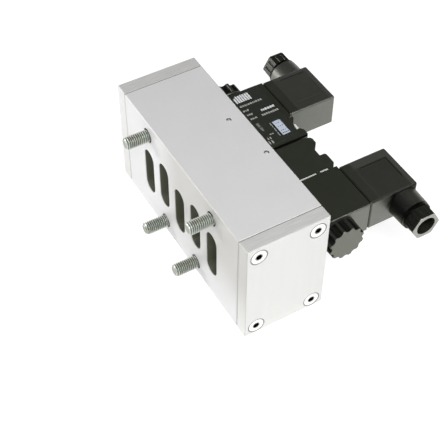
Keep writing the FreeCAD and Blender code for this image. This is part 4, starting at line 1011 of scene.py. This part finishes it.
def make_labels(tab):
    film = black_plastic("label_film", FILM_COLOUR, roughness=0.44, grain_depth=0.001 * MM).done()
    face = AXIS_HEIGHT + PILOT_HALF_WIDTH
    film_top = face + FILM_THICKNESS
    ink_top = film_top + INK_THICKNESS
    printed = (
        ("label_white", boxes_in_rows(WHITE_ROWS), ink("white_ink", WHITE_INK)),
        ("label_grey", boxes_in_rows(GREY_ROWS), ink("grey_ink", GREY_INK)),
        ("label_faint", boxes_in_rows(FAINT_ROWS), ink("faint_ink", FAINT_INK)),
        ("label_field", [PALE_FIELD], ink("blue_ink", BLUE_INK)),
    )
    for side in SIDES:
        make_marks("label_film", side, [FILM_OUTLINE], face - LAYER_SINK, film_top,
                   FILM_ROUNDING, film)
        for name, boxes, material in printed:
            make_marks(name, side, boxes, film_top - LAYER_SINK, ink_top,
                       INK_ROUNDING, material)
        make_marks("label_spots", side, boxes_in_rows(SPOT_ROWS), ink_top - LAYER_SINK,
                   ink_top + SPOT_THICKNESS, SPOT_ROUNDING, film)
        make_marks("marker_tab", side, [MARKER_TAB], face - TAB_BOTTOM, face - TAB_TOP,
                   TAB_ROUNDING, tab)


# Studio

FLOOR_SIZE = 8.0
FLOOR_COLOUR = (0.86, 0.86, 0.86, 1.0)
FLOOR_GLOW = 0.85
FLOOR_SEEN = (0.34, 0.34, 0.34, 1.0)
HORIZON = (0.35, 0.35, 0.35, 1.0)
ZENITH = (0.02, 0.02, 0.02, 1.0)
HORIZON_TOP = 0.12
ZENITH_START = 0.45
LAMP_TARGET = (0.0, 0.0, 0.04)
# name, place, width and height in metres, and power in watts
LAMPS = [
    ("key", (-0.05, -0.75, 1.09), (0.9, 0.7), 16.8),
    ("left", (-1.0, -0.1, 0.65), (0.6, 0.5), 3.2),
    ("rear_left", (-0.62, 0.48, 0.20), (0.3, 0.25), 2.2),
]


def make_world():
    """White round the horizon and dim overhead, as in a studio with white walls."""
    world = bpy.data.worlds.new("studio")
    bpy.context.scene.world = world
    world.use_nodes = True
    nodes = world.node_tree.nodes
    links = world.node_tree.links
    place = nodes.new("ShaderNodeTexCoord").outputs["Generated"]
    split = nodes.new("ShaderNodeSeparateXYZ")
    links.new(place, split.inputs[0])
    rise = nodes.new("ShaderNodeMapRange")
    rise.interpolation_type = "SMOOTHSTEP"
    rise.inputs["From Min"].default_value = HORIZON_TOP
    rise.inputs["From Max"].default_value = ZENITH_START
    links.new(split.outputs[Z], rise.inputs["Value"])
    mix = nodes.new("ShaderNodeMix")
    mix.data_type = "RGBA"
    links.new(rise.outputs[0], mix.inputs[0])
    mix.inputs[6].default_value = HORIZON
    mix.inputs[7].default_value = ZENITH
    links.new(mix.outputs[2], nodes["Background"].inputs["Color"])


def floor_material():
    """Diffuse for the light that it gives back, and paler where it is looked at."""
    material = bpy.data.materials.new("floor")
    material.use_nodes = True
    nodes = material.node_tree.nodes
    links = material.node_tree.links
    nodes.remove(nodes["Principled BSDF"])
    output = nodes["Material Output"]
    diffuse = nodes.new("ShaderNodeBsdfDiffuse")
    diffuse.inputs["Color"].default_value = FLOOR_COLOUR
    seen_diffuse = nodes.new("ShaderNodeBsdfDiffuse")
    seen_diffuse.inputs["Color"].default_value = FLOOR_SEEN
    glow = nodes.new("ShaderNodeEmission")
    glow.inputs["Strength"].default_value = FLOOR_GLOW
    seen = nodes.new("ShaderNodeAddShader")
    links.new(seen_diffuse.outputs[0], seen.inputs[0])
    links.new(glow.outputs[0], seen.inputs[1])
    path = nodes.new("ShaderNodeLightPath")
    looked_at = path.outputs["Is Camera Ray"]
    for name in ("Is Glossy Ray", "Is Transmission Ray"):
        join = nodes.new("ShaderNodeMath")
        join.operation = "MAXIMUM"
        links.new(looked_at, join.inputs[0])
        links.new(path.outputs[name], join.inputs[1])
        looked_at = join.outputs[0]
    mix = nodes.new("ShaderNodeMixShader")
    links.new(looked_at, mix.inputs[0])
    links.new(diffuse.outputs[0], mix.inputs[1])
    links.new(seen.outputs[0], mix.inputs[2])
    links.new(mix.outputs[0], output.inputs["Surface"])
    return material


def make_floor():
    def fill(builder):
        half = FLOOR_SIZE / 2
        corners = [(-half, -half), (half, -half), (half, half), (-half, half)]
        builder.faces.new([builder.verts.new((x, y, 0.0)) for x, y in corners])

    new_piece("floor", fill, [floor_material()])


def make_lamp(name, place, size, power):
    light = bpy.data.lights.new(name, "AREA")
    light.shape = "RECTANGLE"
    light.size, light.size_y = size
    light.energy = power
    item = bpy.data.objects.new(name, light)
    item.location = place
    direction = Vector(LAMP_TARGET) - Vector(place)
    item.rotation_euler = direction.to_track_quat("-Z", "Y").to_euler()
    bpy.context.scene.collection.objects.link(item)


# Putting it together

CAGE_COUNT = 5


def dress(node_name, material):
    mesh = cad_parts[node_name].data
    mesh.materials.clear()
    mesh.materials.append(material)


def dress_all():
    """Gives every solid its material and adds the pieces that only this script makes."""
    zinc = thread_steel()
    bracket = plated_steel("zinc_plate", BRACKET_GREY, BRACKET_YELLOW,
                           roughness=0.40, metallic=0.3).done()
    ball = plated_steel("ball_steel", BALL_GREY, BALL_YELLOW,
                        roughness=0.25, metallic=0.45).done()
    steel = plain_material("bright_steel")
    seal = plain_material("black_rubber")
    acetal = plain_material("white_acetal")
    turned = plain_material("machined_aluminium")
    fibre = plain_material("fibre_gasket")
    coil = black_plastic("coil_plastic", COIL_COLOUR, roughness=0.41,
                         grain_depth=0.008 * MM).done()
    joint = joint_rubber()
    single = {
        "valve_body": block_aluminium(), "spool": turned, "spool_seals": seal,
        "channel_plugs": ball, "piston_screws": steel, "mounting_bolts": zinc,
    }
    for number in range(1, CAGE_COUNT + 1):
        single[f"spacer_cage_{number}"] = acetal
    paired = {
        "end_gasket": fibre, "stack_retainer": steel, "piston": acetal, "piston_seal": seal,
        "pilot_body": pilot_plastic(), "pilot_gasket": seal, "pilot_screws": zinc,
        "manual_override": brass(), "armature_tube": steel, "armature_core": steel,
        "plunger": steel, "bracket_plate": bracket, "coil": coil, "coil_terminals": steel,
        "plug_gasket": joint, "plug_insert": coil, "plug_screw": zinc, "gland_seal": seal,
    }
    per_side = {
        "end_plate": plate_aluminium, "end_plate_screws": screw_steel,
        "gland_nut": gland_plastic, "coil_nut": coil_nut_plastic, "plug_housing": plug_plastic,
    }
    for name, material in single.items():
        dress(name, material)
    for side in SIDES:
        for name, material in paired.items():
            dress(f"{name}_{side}", material)
        for name, make_material in per_side.items():
            dress(f"{name}_{side}", make_material(f"{name}_{side}"))
    make_bolts(zinc)
    for side in SIDES:
        make_joint(side, joint)
    for side in SIDES:
        make_spring(side, steel)
    make_labels(acetal)


make_camera()
make_world()
make_floor()
for lamp in LAMPS:
    make_lamp(*lamp)
dress_all()
bpy.context.scene.view_settings.view_transform = "Standard"
